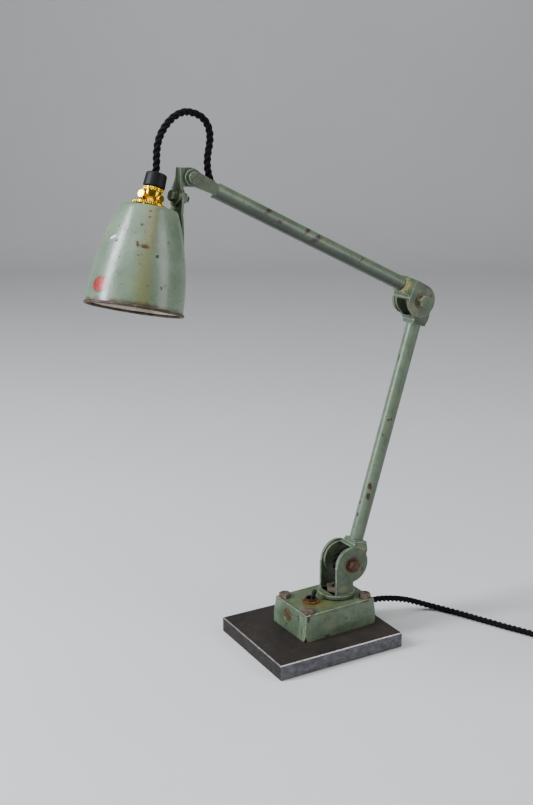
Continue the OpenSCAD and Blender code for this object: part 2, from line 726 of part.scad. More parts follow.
module strap_rivets() {
  color("darkseagreen") at_shade() at_rivets() {
    x_cylinder(rivet_r, -strap_t - shade_wall - 0.6, eps);
    rotate([0, 90, 0]) cylinder(r1 = 2.6, r2 = 1.6, h = 1.2);
  }
}

// ---------- shade ----------

// Radius of the bell, a curve through its top, middle and mouth radii
function bell_r(u) =
  shade_top_r * (1 - u) * (1 - 2 * u) + shade_mid_r * 4 * u * (1 - u) + shade_mouth_r * u * (2 * u - 1);

function bell_line(inset) = [for (k = [0 : bell_steps]) let (u = k / bell_steps) [bell_r(u) - inset, -u * shade_l]];

function flip(list) = [for (k = [len(list) - 1 : -1 : 0]) list[k]];

module shade() {
  inner = [for (p = flip(bell_line(shade_wall))) [p[0], min(p[1], -shade_wall)]];
  color("darkseagreen") difference() {
    at_shade() rotate_extrude($fn = 96) polygon(concat([[shade_hole_r, 0]], bell_line(0), inner,
      [[shade_hole_r, -shade_wall]]));
    at_shade() at_rivets() x_cylinder(rivet_r, -10, 3);
  }
}

module shade_rim() {
  color("sienna") at_shade() translate([0, 0, -shade_l - rim_r + eps]) rotate_extrude($fn = 96)
    translate([shade_mouth_r, 0]) circle(r = rim_r, $fn = 24);
}

// ---------- lampholder and bulb ----------

module holder_cap() {
  shoulder = flange_t + 4.6;
  color("gold") at_holder() difference() {
    rotate_extrude() polygon([
      [0, 0], [flange_d / 2 - 0.6, 0], [flange_d / 2, 0.6], [flange_d / 2, flange_t - 0.6],
      [flange_d / 2 - 0.8, flange_t], [waist_r + 3.4, flange_t + 0.3], [waist_r + 2.4, flange_t + 2],
      [waist_r + 1.4, shoulder - 1], [waist_r, shoulder], [waist_r, flange_t + cap_h], [0, flange_t + cap_h]]);
    translate([0, 0, -1]) cylinder(r = flex_r + 0.2, h = 30);
    translate([0, 0, -eps]) cylinder(r = waist_r - 1.2, h = flange_t + 3);
    for (a = screw_angles) rotate([0, 0, a]) translate([0, 0, screw_z]) x_cylinder(1.6, flex_r, 30);
  }
}

module holder_screws() {
  color("gold") at_holder() {
    rotate([0, 0, screw_angles[0]]) translate([0, 0, screw_z]) {
      x_cylinder(1.6, flex_r + 0.4, waist_r + 5);
      x_cylinder(3.1, waist_r + 3, waist_r + 6.6);
    }
    rotate([0, 0, screw_angles[1]]) translate([0, 0, screw_z]) {
      x_cylinder(1.6, flex_r + 0.4, waist_r + 3.5);
      x_cylinder(3, waist_r + 2.9, waist_r + 4.1);
    }
  }
}

module holder_ring() {
  color("gold") at_holder() translate([0, 0, flange_t + cap_h]) difference() {
    rotate_extrude() polygon([[0, 0], [ring_r - 0.4, 0], [ring_r, 0.4], [ring_r, ring_h - 0.4],
      [ring_r - 0.4, ring_h], [0, ring_h]]);
    translate([0, 0, -1]) cylinder(r = flex_r + 0.2, h = ring_h + 2);
  }
}

module cord_grip() {
  color("black") at_holder() translate([0, 0, grip_at]) difference() {
    rotate_extrude() polygon([[0, 0], [grip_d / 2 - 0.8, 0], [grip_d / 2, 0.8], [grip_d / 2 - 0.4, grip_h - 0.8],
      [grip_d / 2 - 1.2, grip_h], [0, grip_h]]);
    translate([0, 0, -1]) cylinder(r = flex_r + 0.1, h = grip_h + 2);
  }
}

module holder_body() {
  color("gold") at_holder() translate([0, 0, holder_top - holder_l]) {
    tube(holder_d / 2, holder_d / 2 - 1.2, holder_l);
    translate([0, 0, holder_l - eps]) tube(holder_neck_r, holder_neck_r - 1.2, -holder_top);
    translate([0, 0, holder_l - 1.2]) tube(holder_d / 2 - eps, holder_neck_r - 1.2, 1.2);
  }
}

module holder_insert() {
  color("ivory") at_holder() translate([0, 0, holder_top - 13]) difference() {
    cylinder(r = holder_d / 2 - 1.3, h = 11.6);
    for (x = [-5, 5]) translate([x, 0, -1]) cylinder(r = 1.6, h = 20);
  }
}

module holder_shade_ring() {
  color("gold") at_holder() translate([0, 0, holder_top - 9]) tube(holder_d / 2 + 2.4, holder_d / 2, 5);
}

module bulb_cap() {
  color("silver") at_holder() translate([0, 0, bulb_cap_top - bulb_cap_l]) {
    cylinder(d = 14, h = bulb_cap_l - 2);
    translate([0, 0, bulb_cap_l - 2]) cylinder(d1 = 10, d2 = 5, h = 2);
  }
}

module bulb_glass() {
  neck = 7.6;
  throat = bulb_cap_top - bulb_cap_l - 5;
  drop = bulb_l - bulb_d / 2;
  color("white", 0.5) at_holder() translate([0, 0, throat]) rotate_extrude() polygon(concat(
    [[0, 5], [neck, 5], [neck, 1.5]],
    [for (a = [60 : -10 : -80]) [bulb_d / 2 * cos(a), -drop + bulb_d / 2 * 0.98 * sin(a)]],
    [[0, -drop - bulb_d / 2]]));
}

// ---------- flex ----------

module flex_in_lower_tube() {
  start = inner_seat + 1;
  color("black") at_lower() translate([tube_offset, 0, start]) cylinder(r = flex_r, h = lower_arm_l - 2 * start);
}

module flex_in_upper_tube() {
  start = outer_seat + 1;
  joint_at = head_arm_route[0];
  end = (joint_at - elbow_at) * upper_dir;
  color("black") at_upper() translate([tube_offset, 0, start]) cylinder(r = flex_r, h = end - start);
}

// From the hollow stud, round the bush, into the lower tube
module flex_at_shoulder() {
  mouth = shoulder_at + tube_offset * lower_side + (inner_seat + 0.4) * lower_dir;
  base = [swivel_x, 0, yoke_floor];
  round_bush = flex_r + bush_d / 2 + 1;
  color("black") sweep([
    base, base + [0, 0, 8], shoulder_at + round_bush * [-0.77, 0, -1.1], shoulder_at + round_bush * [-1, 0, -0.1],
    shoulder_at + round_bush * [-0.75, 0, 0.75], shoulder_at + round_bush * [0.35, 0, 1],
    mouth - 5 * lower_dir - 0.6 * lower_side, mouth], flex_r, [0, 1, 0]);
}

// From the lower tube, round the outside of the bush, into the upper tube
module flex_at_elbow() {
  from = elbow_at + tube_offset * lower_side - (inner_seat + 0.4) * lower_dir;
  to = elbow_at + tube_offset * upper_side + (outer_seat + 1) * upper_dir;
  round_bush = flex_r + bush_d / 2 + 1;
  color("black") sweep([
    from, from + 7 * lower_dir, elbow_at + round_bush * [1, 0, -0.3], elbow_at + round_bush * [0.98, 0, 0.45],
    elbow_at + round_bush * [0.45, 0, 0.98], elbow_at + round_bush * [-0.3, 0, 1.1],
    to - 7 * upper_dir, to], flex_r, [0, 1, 0]);
}

module head_flex_arm() color("black") sweep(head_arm_route, flex_r, [0, 1, 0]);
module head_flex_shade() color("black") sweep(head_shade_route, flex_r, [0, 1, 0]);

module mains_flex() {
  color("black") {
    sweep(mains_route, flex_r, [0, 0, 1]);
    sweep(plug_route, flex_r, [0, 0, 1]);
  }
}

module mains_coil() {
  color("black") translate(coil_at) rotate_extrude() polygon([
    [coil_in_r, 2], [coil_in_r + 2, 0.1], [coil_out_r - 2, 0.1], [coil_out_r, 2], [coil_out_r, 4],
    [coil_out_r - 3, coil_h - 1], [coil_out_r - 5, coil_h], [coil_in_r + 5, coil_h],
    [coil_in_r + 3, coil_h - 1], [coil_in_r, 4]]);
}

module coil_tie() {
  mid = (coil_in_r + coil_out_r) / 2;
  w = coil_out_r - coil_in_r;
  color("dimgray") translate(coil_at) rotate([0, 0, 35]) translate([mid, 0, 0]) difference() {
    translate([-w / 2 - 1.6, -4, 0]) cube([w + 3.2, 8, coil_h + 1.5]);
    translate([-w / 2 - 0.3, -5, 0.1 - 1]) cube([w + 0.6, 10, coil_h + 1.2]);
  }
}

// ---------- plug ----------

module plug_body() {
  half = plug_w / 2;
  color("black") translate(plug_at) difference() {
    union() {
      translate([0, 0, 2]) rounded_prism(plug_w, plug_w, plug_t - 2, 7);
      translate([0, 0, 0]) rounded_prism(plug_w - 5, plug_w - 5, 2, 6);
    }
    translate([0, 0, plug_lead_z]) x_cylinder(flex_r + 0.1, -half - 1, -half + 9);
    translate([0, 0, plug_t - 3]) cylinder(r = 2.4, h = 5);
    for (p = pin_places) translate([p[0] - p[2] / 2, p[1] - p[3] / 2, plug_t - 3.5]) cube([p[2], p[3], 5]);
  }
}

module plug_pins() {
  color("goldenrod") translate(plug_at) for (p = pin_places)
    translate([p[0] - p[2] / 2, p[1] - p[3] / 2, plug_t - 3.5]) cube([p[2], p[3], 3.5 + pin_l]);
}

base_plate();
switch_box();
box_bolts();
end_plug();
terminal_block();
switch_body();
switch_nut();
switch_lever();
flex_gland();
swivel_washer();
yoke();
swivel_stud();
swivel_nut();
shoulder_bolt();
shoulder_nut();
shoulder_washers();
shoulder_bush();
shoulder_fork();
lower_tube();
elbow_knuckle();
elbow_bush();
elbow_fork();
upper_tube();
elbow_bolt();
elbow_nut();
elbow_washers();
head_tongue();
head_screw();
head_nut();
head_link();
tilt_bolt();
tilt_nut();
tilt_washers();
shade_strap();
strap_rivets();
shade();
shade_rim();
holder_cap();
holder_screws();
holder_ring();
cord_grip();
holder_body();
holder_insert();
holder_shade_ring();
bulb_cap();
bulb_glass();
flex_in_lower_tube();
flex_in_upper_tube();
flex_at_shoulder();
flex_at_elbow();
head_flex_arm();
head_flex_shade();
mains_flex();
mains_coil();
coil_tie();
plug_body();
plug_pins();
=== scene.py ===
import json
import math

import bmesh
import bpy
import numpy as np
from mathutils import Matrix, Vector


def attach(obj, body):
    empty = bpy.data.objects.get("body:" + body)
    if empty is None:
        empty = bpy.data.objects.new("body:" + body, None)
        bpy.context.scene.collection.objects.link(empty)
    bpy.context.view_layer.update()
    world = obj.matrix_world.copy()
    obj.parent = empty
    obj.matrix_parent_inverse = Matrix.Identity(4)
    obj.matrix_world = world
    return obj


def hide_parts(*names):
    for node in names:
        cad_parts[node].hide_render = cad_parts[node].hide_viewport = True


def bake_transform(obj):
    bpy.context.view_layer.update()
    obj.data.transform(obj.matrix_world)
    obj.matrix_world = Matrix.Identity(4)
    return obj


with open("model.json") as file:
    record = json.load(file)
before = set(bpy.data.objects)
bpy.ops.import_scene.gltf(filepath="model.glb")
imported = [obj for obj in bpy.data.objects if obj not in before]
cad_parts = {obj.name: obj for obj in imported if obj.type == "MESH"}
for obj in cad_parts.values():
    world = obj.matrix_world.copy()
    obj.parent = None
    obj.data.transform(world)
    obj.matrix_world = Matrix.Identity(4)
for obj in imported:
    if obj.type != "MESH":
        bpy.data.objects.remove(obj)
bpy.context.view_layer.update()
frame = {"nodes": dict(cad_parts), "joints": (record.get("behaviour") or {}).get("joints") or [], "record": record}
print("frame loaded")

mm = 0.001
scene = bpy.context.scene

# The camera
cameraLook = {
    "place": (-535.4, -796.5, 495.7),  # mm
    "tilt": 74.61,  # degrees up from straight down
    "turn": -31.4,
    "lens": 50,
}
cameraData = bpy.data.cameras.new("deskCamera")
cameraData.lens = cameraLook["lens"]
cameraData.sensor_width = 36
cameraData.clip_start = 0.01
camera = bpy.data.objects.new("deskCamera", cameraData)
camera.location = [v * mm for v in cameraLook["place"]]
camera.rotation_euler = (math.radians(cameraLook["tilt"]), 0, math.radians(cameraLook["turn"]))
scene.collection.objects.link(camera)
scene.camera = camera
print("camera placed")


# Settings that many nodes share
softStep = {"interpolation_type": "SMOOTHSTEP"}
colourMix = {"data_type": "RGBA"}


def addNode(tree, kind, settings=None, inputs=None):
    # kind is the node's type, less its first word where that is ShaderNode
    # settings are the node's own properties, or just its operation
    # inputs are values, hex colours, or the sockets or nodes that feed them (a node gives its first in use)
    whole = kind.startswith(("GeometryNode", "NodeGroup"))
    node = tree.nodes.new(kind if whole else "ShaderNode" + kind)
    if isinstance(settings, str):
        settings = {"operation": settings}
    for key, value in (settings or {}).items():
        if key == "ramp":
            while len(node.color_ramp.elements) < len(value):
                node.color_ramp.elements.new(0.5)
            for element, (place, colour) in zip(node.color_ramp.elements, value):
                element.position = place
                element.color = linearColour(colour) if isinstance(colour, str) else colour
        else:
            setattr(node, key, value)
    for key, value in (inputs or {}).items():
        if isinstance(value, bpy.types.Node):
            value = next(socket for socket in value.outputs if socket.enabled)
        elif isinstance(value, str) and value.startswith("#"):
            value = linearColour(value)
        if isinstance(value, bpy.types.NodeSocket):
            tree.links.new(value, node.inputs[key])
        else:
            node.inputs[key].default_value = value
    return node


def linearColour(hexText, alpha=1.0):
    values = [int(hexText[i : i + 2], 16) / 255 for i in (1, 3, 5)]
    return [v / 12.92 if v <= 0.04045 else ((v + 0.055) / 1.055) ** 2.4 for v in values] + [alpha]


def grey(value):
    return (value, value, value, 1)


def newTree(name, inputs):
    # an empty Geometry Nodes tree with named inputs: name -> (socket type, value)
    tree = bpy.data.node_groups.new(name, "GeometryNodeTree")
    tree.interface.new_socket("Geometry", in_out="INPUT", socket_type="NodeSocketGeometry")
    for label, (kind, value) in inputs.items():
        socket = tree.interface.new_socket(label, in_out="INPUT", socket_type=kind)
        if value is not None:
            socket.default_value = value
    tree.interface.new_socket("Geometry", in_out="OUTPUT", socket_type="NodeSocketGeometry")
    return tree


def closeTree(tree, geometry, material):
    # ends a tree: real geometry, in its material
    real = addNode(tree, "GeometryNodeRealizeInstances", None, {"Geometry": geometry})
    painted = addNode(tree, "GeometryNodeSetMaterial", None, {"Geometry": real, "Material": material})
    addNode(tree, "NodeGroupOutput", None, {"Geometry": painted})


def newMaterial(name):
    material = bpy.data.materials.new(name)
    material.use_nodes = True
    material.node_tree.nodes.clear()
    return material, material.node_tree


def runTree(source, tree, values, name):
    # puts the tree on a copy of source and returns its result as a plain mesh object
    modifier = source.modifiers.new("nodes", "NODES")
    modifier.node_group = tree
    for item in tree.interface.items_tree:
        if item.item_type == "SOCKET" and item.in_out == "INPUT" and item.name in values:
            modifier[item.identifier] = values[item.name]
    graph = bpy.context.evaluated_depsgraph_get()
    graph.update()
    mesh = bpy.data.meshes.new_from_object(source.evaluated_get(graph), preserve_all_data_layers=True,
        depsgraph=graph)
    source.modifiers.remove(modifier)
    result = bpy.data.objects.new(name, mesh)
    scene.collection.objects.link(result)
    bpy.data.objects.remove(source)
    return result


def meshObject(name, points, faces):
    mesh = bpy.data.meshes.new(name)
    mesh.from_pydata([tuple(p) for p in points], [], faces)
    mesh.validate()
    made = bpy.data.objects.new(name, mesh)
    scene.collection.objects.link(made)
    return made


def outward(made):
    b = bmesh.new()
    b.from_mesh(made.data)
    bmesh.ops.remove_doubles(b, verts=b.verts, dist=1e-6)
    bmesh.ops.recalc_face_normals(b, faces=b.faces)
    b.to_mesh(made.data)
    b.free()
    return made


def smooth(made, angle=32):
    made.data.shade_smooth()
    made.data.set_sharp_from_angle(angle=math.radians(angle))
    return made


def applyModifiers(made):
    graph = bpy.context.evaluated_depsgraph_get()
    graph.update()
    mesh = bpy.data.meshes.new_from_object(made.evaluated_get(graph), preserve_all_data_layers=True,
        depsgraph=graph)
    made.modifiers.clear()
    made.data = mesh
    return made


def dress(made, body, slotName, *materials):
    made.data.materials.clear()
    for material in materials:
        made.data.materials.append(material)
    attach(made, body)
    return made


# Smooth curve through the given points, stepped evenly
def smoothPath(points, step, between=24):
    p = [Vector(q) for q in points]
    fine = []
    for i in range(len(p) - 1):
        a, b = p[i], p[i + 1]
        before = p[i - 1] if i else a - (b - a)
        after = p[i + 2] if i + 2 < len(p) else b + (b - a)
        for k in range(between):
            t = k / between
            square = (2 * before - 5 * a + 4 * b - after) * t * t
            fine.append(0.5 * ((2 * a) + (b - before) * t + square
                + (3 * a - before - 3 * b + after) * t**3))
    fine.append(p[-1])
    gaps = [(after - before).length for before, after in zip(fine, fine[1:])]
    lengths = np.concatenate([[0], np.cumsum(gaps)])
    count = max(4, int(lengths[-1] / step))
    wanted = np.linspace(0, lengths[-1], count + 1)
    axes = [np.interp(wanted, lengths, [q[k] for q in fine]) for k in range(3)]
    return [Vector(q) for q in zip(*axes)], float(lengths[-1])


# Twisted flex: three braided cores laid round each other along a curve
flexLook = {
    "across": 6.2,  # mm over the cores
    "coreRadius": 1.55,
    "pitch": 15.0,  # mm along for one full turn of the twist
    "step": 1.0,
}
tree = flexTree = newTree("twistedFlex", {
    "Core radius": ("NodeSocketFloat", 0.0014),
    "Lay radius": ("NodeSocketFloat", 0.0015),
    "Pitch": ("NodeSocketFloat", 0.015),
    "Material": ("NodeSocketMaterial", None),
})
given = addNode(tree, "NodeGroupInput")
along = addNode(tree, "GeometryNodeSplineParameter")
turnBy = addNode(tree, "Math", "DIVIDE", {0: along.outputs["Length"], 1: given.outputs["Pitch"]})
tilt = addNode(tree, "Math", "MULTIPLY", {0: turnBy, 1: 2 * math.pi})
tilted = addNode(tree, "GeometryNodeSetCurveTilt", None, {"Curve": given.outputs["Geometry"], "Tilt": tilt})
keepAlong = addNode(tree, "GeometryNodeCaptureAttribute", {"domain": "POINT"}, {"Geometry": tilted})
keepAlong.capture_items.new("FLOAT", "along")
tree.links.new(along.outputs["Length"], keepAlong.inputs[1])
coreCircle = addNode(tree, "GeometryNodeCurvePrimitiveCircle", None,
    {"Resolution": 12, "Radius": given.outputs["Core radius"]})
coreSpline = addNode(tree, "GeometryNodeSplineParameter")
keepAround = addNode(tree, "GeometryNodeCaptureAttribute", {"domain": "POINT"}, {"Geometry": coreCircle})
keepAround.capture_items.new("FLOAT", "around")
tree.links.new(coreSpline.outputs["Factor"], keepAround.inputs[1])
layTriangle = addNode(tree, "GeometryNodeCurvePrimitiveCircle", None,
    {"Resolution": 3, "Radius": given.outputs["Lay radius"]})
cores = addNode(tree, "GeometryNodeInstanceOnPoints", None, {"Points": layTriangle, "Instance": keepAround})
loose = addNode(tree, "GeometryNodeRealizeInstances", None, {"Geometry": cores})
tubes = addNode(tree, "GeometryNodeCurveToMesh", None, {
    "Curve": keepAlong, "Profile Curve": loose, "Fill Caps": True})
pair = addNode(tree, "CombineXYZ", None, {0: keepAlong.outputs[1], 1: keepAround.outputs[1]})
stored = addNode(tree, "GeometryNodeStoreNamedAttribute", {"data_type": "FLOAT_VECTOR", "domain": "POINT"}, {
    "Geometry": tubes, "Name": "braid", "Value": pair})
shaded = addNode(tree, "GeometryNodeSetShadeSmooth", None, {0: stored})
closeTree(tree, shaded, given.outputs["Material"])

# Black cotton braid over rubber: matt thread, a fine plait that catches a little light, some dust
braidLook = {
    "thread": "#09090a", "high": "#151415", "dust": "#2e2b27",
    "plaitWidth": 1.2,  # mm, coarser than real so that it shows
    "strands": 6,
}
cottonBraid, tree = newMaterial("cottonBraidBlack")
braidAt = addNode(tree, "Attribute", {"attribute_name": "braid"})
split = addNode(tree, "SeparateXYZ", None, {0: braidAt.outputs["Vector"]})
rows = addNode(tree, "Math", "MULTIPLY", {0: split, 1: 1 / (braidLook["plaitWidth"] * mm)})
strands = addNode(tree, "Math", "MULTIPLY", {0: split.outputs[1], 1: braidLook["strands"]})
oneWay = addNode(tree, "Math", "ADD", {0: rows, 1: strands})
otherWay = addNode(tree, "Math", "SUBTRACT", {0: rows, 1: strands})
wave1 = addNode(tree, "Math", "PINGPONG", {0: oneWay, 1: 0.5})
wave2 = addNode(tree, "Math", "PINGPONG", {0: otherWay, 1: 0.5})
plait = addNode(tree, "Math", "MULTIPLY", {0: wave1, 1: wave2})
plaitHigh = addNode(tree, "Math", {"operation": "MULTIPLY", "use_clamp": True}, {0: plait, 1: 4.0})
place = addNode(tree, "TexCoord")
dustNoise = addNode(tree, "TexNoise", None, {"Vector": place.outputs["Object"], "Scale": 260.0,
    "Detail": 6.0, "Roughness": 0.7})
dustRamp = addNode(tree, "ValToRGB", {"ramp": [(0.6, grey(0)), (0.78, grey(0.4))]}, {0: dustNoise})
threadMix = addNode(tree, "Mix", colourMix, {
    0: plaitHigh, 6: braidLook["thread"], 7: braidLook["high"]})
dustMix = addNode(tree, "Mix", colourMix, {
    0: dustRamp, 6: threadMix, 7: braidLook["dust"]})
braidBump = addNode(tree, "Bump", None, {"Strength": 0.6, "Distance": 0.0002, "Height": plaitHigh})
surface = addNode(tree, "BsdfPrincipled", None, {
    "Base Color": dustMix, "Roughness": 0.85, "Specular IOR Level": 0.2, "Sheen Weight": 0.02,
    "Sheen Roughness": 0.4, "Normal": braidBump})
addNode(tree, "OutputMaterial", None, {0: surface})


def twistedFlex(name, points):
    path, length = smoothPath(points, flexLook["step"] * mm)
    curve = bpy.data.curves.new(name, "CURVE")
    curve.dimensions = "3D"
    spline = curve.splines.new("POLY")
    spline.points.add(len(path) - 1)
    for point, q in zip(spline.points, path):
        point.co = (*q, 1)
    source = bpy.data.objects.new(name + "Line", curve)
    scene.collection.objects.link(source)
    core = flexLook["coreRadius"] * mm
    made = runTree(source, flexTree, {
        "Core radius": core, "Lay radius": flexLook["across"] * mm / 2 - core,
        "Pitch": flexLook["pitch"] * mm, "Material": cottonBraid}, name)
    return made, [tuple(q) for q in path], length


# Mains lead, in mm: from the box across the table to the coil, round it, and out to the plug
mainsLook = {
    "toCoil": [
        (52, 0, 22.5), (62, 0, 22.7), (71, -0.3, 22.8), (80, -0.8, 22.2), (90, -1.5, 20.4),
        (101, -2.3, 17.6), (112, -3.2, 14), (122, -4.8, 10), (131, -8, 6.4), (138.5, -13.5, 4.2),
        (144.5, -21.5, 3.2), (149.5, -31.5, 3.1), (154.5, -43, 3.1), (160, -56, 3.1), (166, -70, 3.1),
        (172, -84, 3.1), (178.5, -97.5, 3.1), (184, -111, 3.1), (187.8, -122, 3.1), (190, -133, 3.1),
        (191.3, -144, 3.1),
    ],
    "coilAt": (237, -143),
    "turnStep": 20,  # degrees
    # angle in degrees, radius, height: in along the table, out on the next layer, and off over the top
    "turns": [
        (195, 45, 3.1), (1275, 27, 3.1), (1335, 30, 8.3), (2055, 42, 8.3), (2115, 39, 13.5),
        (2370, 39, 13.5),
        (2418, 43.5, 12.6),
    ],
    "toPlug": [
        (245, -189.5, 10.4), (256, -186.5, 7.2), (266, -181.5, 5), (275, -176, 4.6), (284, -170.5, 6.6),
        (292, -166.5, 9.6), (299, -165, 11.6), (304, -165, 12),
    ],
    "exit": (62, 0, 22.7),
}
mainsRoute = list(mainsLook["toCoil"])
for (a0, r0, z0), (a1, r1, z1) in zip(mainsLook["turns"], mainsLook["turns"][1:]):
    steps = max(1, round((a1 - a0) / mainsLook["turnStep"]))
    for k in range(steps):
        t = k / steps
        a = math.radians(a0 + (a1 - a0) * t)
        r = r0 + (r1 - r0) * t
        x, y = mainsLook["coilAt"]
        mainsRoute.append((x + r * math.cos(a), y + r * math.sin(a), z0 + (z1 - z0) * t))
mainsRoute += mainsLook["toPlug"]
mains, mainsPath, mainsLength = twistedFlex("mainsLead", [Vector(p) * mm for p in mainsRoute])
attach(mains, "base")
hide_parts("mains_flex", "mains_coil")
print("mains lead", round(mainsLength, 3))

# Flex over the head, in mm: up out of the tube, over, and down into the cord grip
headLook = {
    "fromArm": [
        (-88, 0, 418.5), (-93, 0, 421.2), (-97.5, 0, 424.5), (-101, 0, 428.8), (-103, 0, 434),
        (-104, 0, 439.5), (-104, 0.3, 445), (-103.2, 0.6, 450.5), (-101.8, 1, 456), (-100.8, 1.4, 461.5),
        (-100.8, 1.8, 467), (-102.2, 2.2, 472.5), (-105.4, 2.6, 477.2), (-110, 3, 480.4),
        (-115.2, 3.3, 482.2),
        (-118.5, 3.5, 482.7), (-120, 3.6, 482.8),
    ],
    "toShade": [
        (-120.5, 3.6, 482.8), (-122, 3.7, 482.7), (-125.6, 3.9, 481.8), (-130.4, 4.2, 479.4),
        (-134.6, 4.5, 476),
        (-138.2, 4.8, 472), (-141.2, 5.1, 467.6), (-143.4, 5.4, 462.8), (-144.8, 5.7, 457.8),
        (-145.4, 6, 452.8),
        (-145.6, 6.2, 448.8), (-145.6, 6.4, 445.4), (-145.7, 6.5, 442.4), (-146, 6.5, 440),
        (-146.4, 6.5, 438),
        (-146.9, 6.5, 436.2), (-147.4, 6.5, 434.4),
    ],
}
headArm, headArmPath, headArmLength = twistedFlex("headFlexArm",
    [Vector(p) * mm for p in headLook["fromArm"]])
headShade, headShadePath, headShadeLength = twistedFlex("headFlexShade",
    [Vector(p) * mm for p in headLook["toShade"]])
for made, path, length, ends, node in (
    (headArm, headArmPath, headArmLength, ("upper_arm", "head"), "head_flex_arm"),
    (headShade, headShadePath, headShadeLength, ("head", "shade"), "head_flex_shade"),
):
    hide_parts(node)
    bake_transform(made)
print("head flex", round(headArmLength + headShadeLength, 3))

# Aged stove enamel on steel: glassy, slightly rippled, chalky where it has worn, with rust coming through
enamelLook = {
    "stain": "#8c8750", "runStain": "#83804c", "rustyFoot": "#4a3a22", "soot": "#22281b",
    "rust": ("#1f1611", "#4a2f1d", "#6e4527"),
    # sizes in mm
    "rustGrain": 1.2, "ragged": 1.1, "markDepth": 4, "chip": 2.2, "speck": 0.9,
}


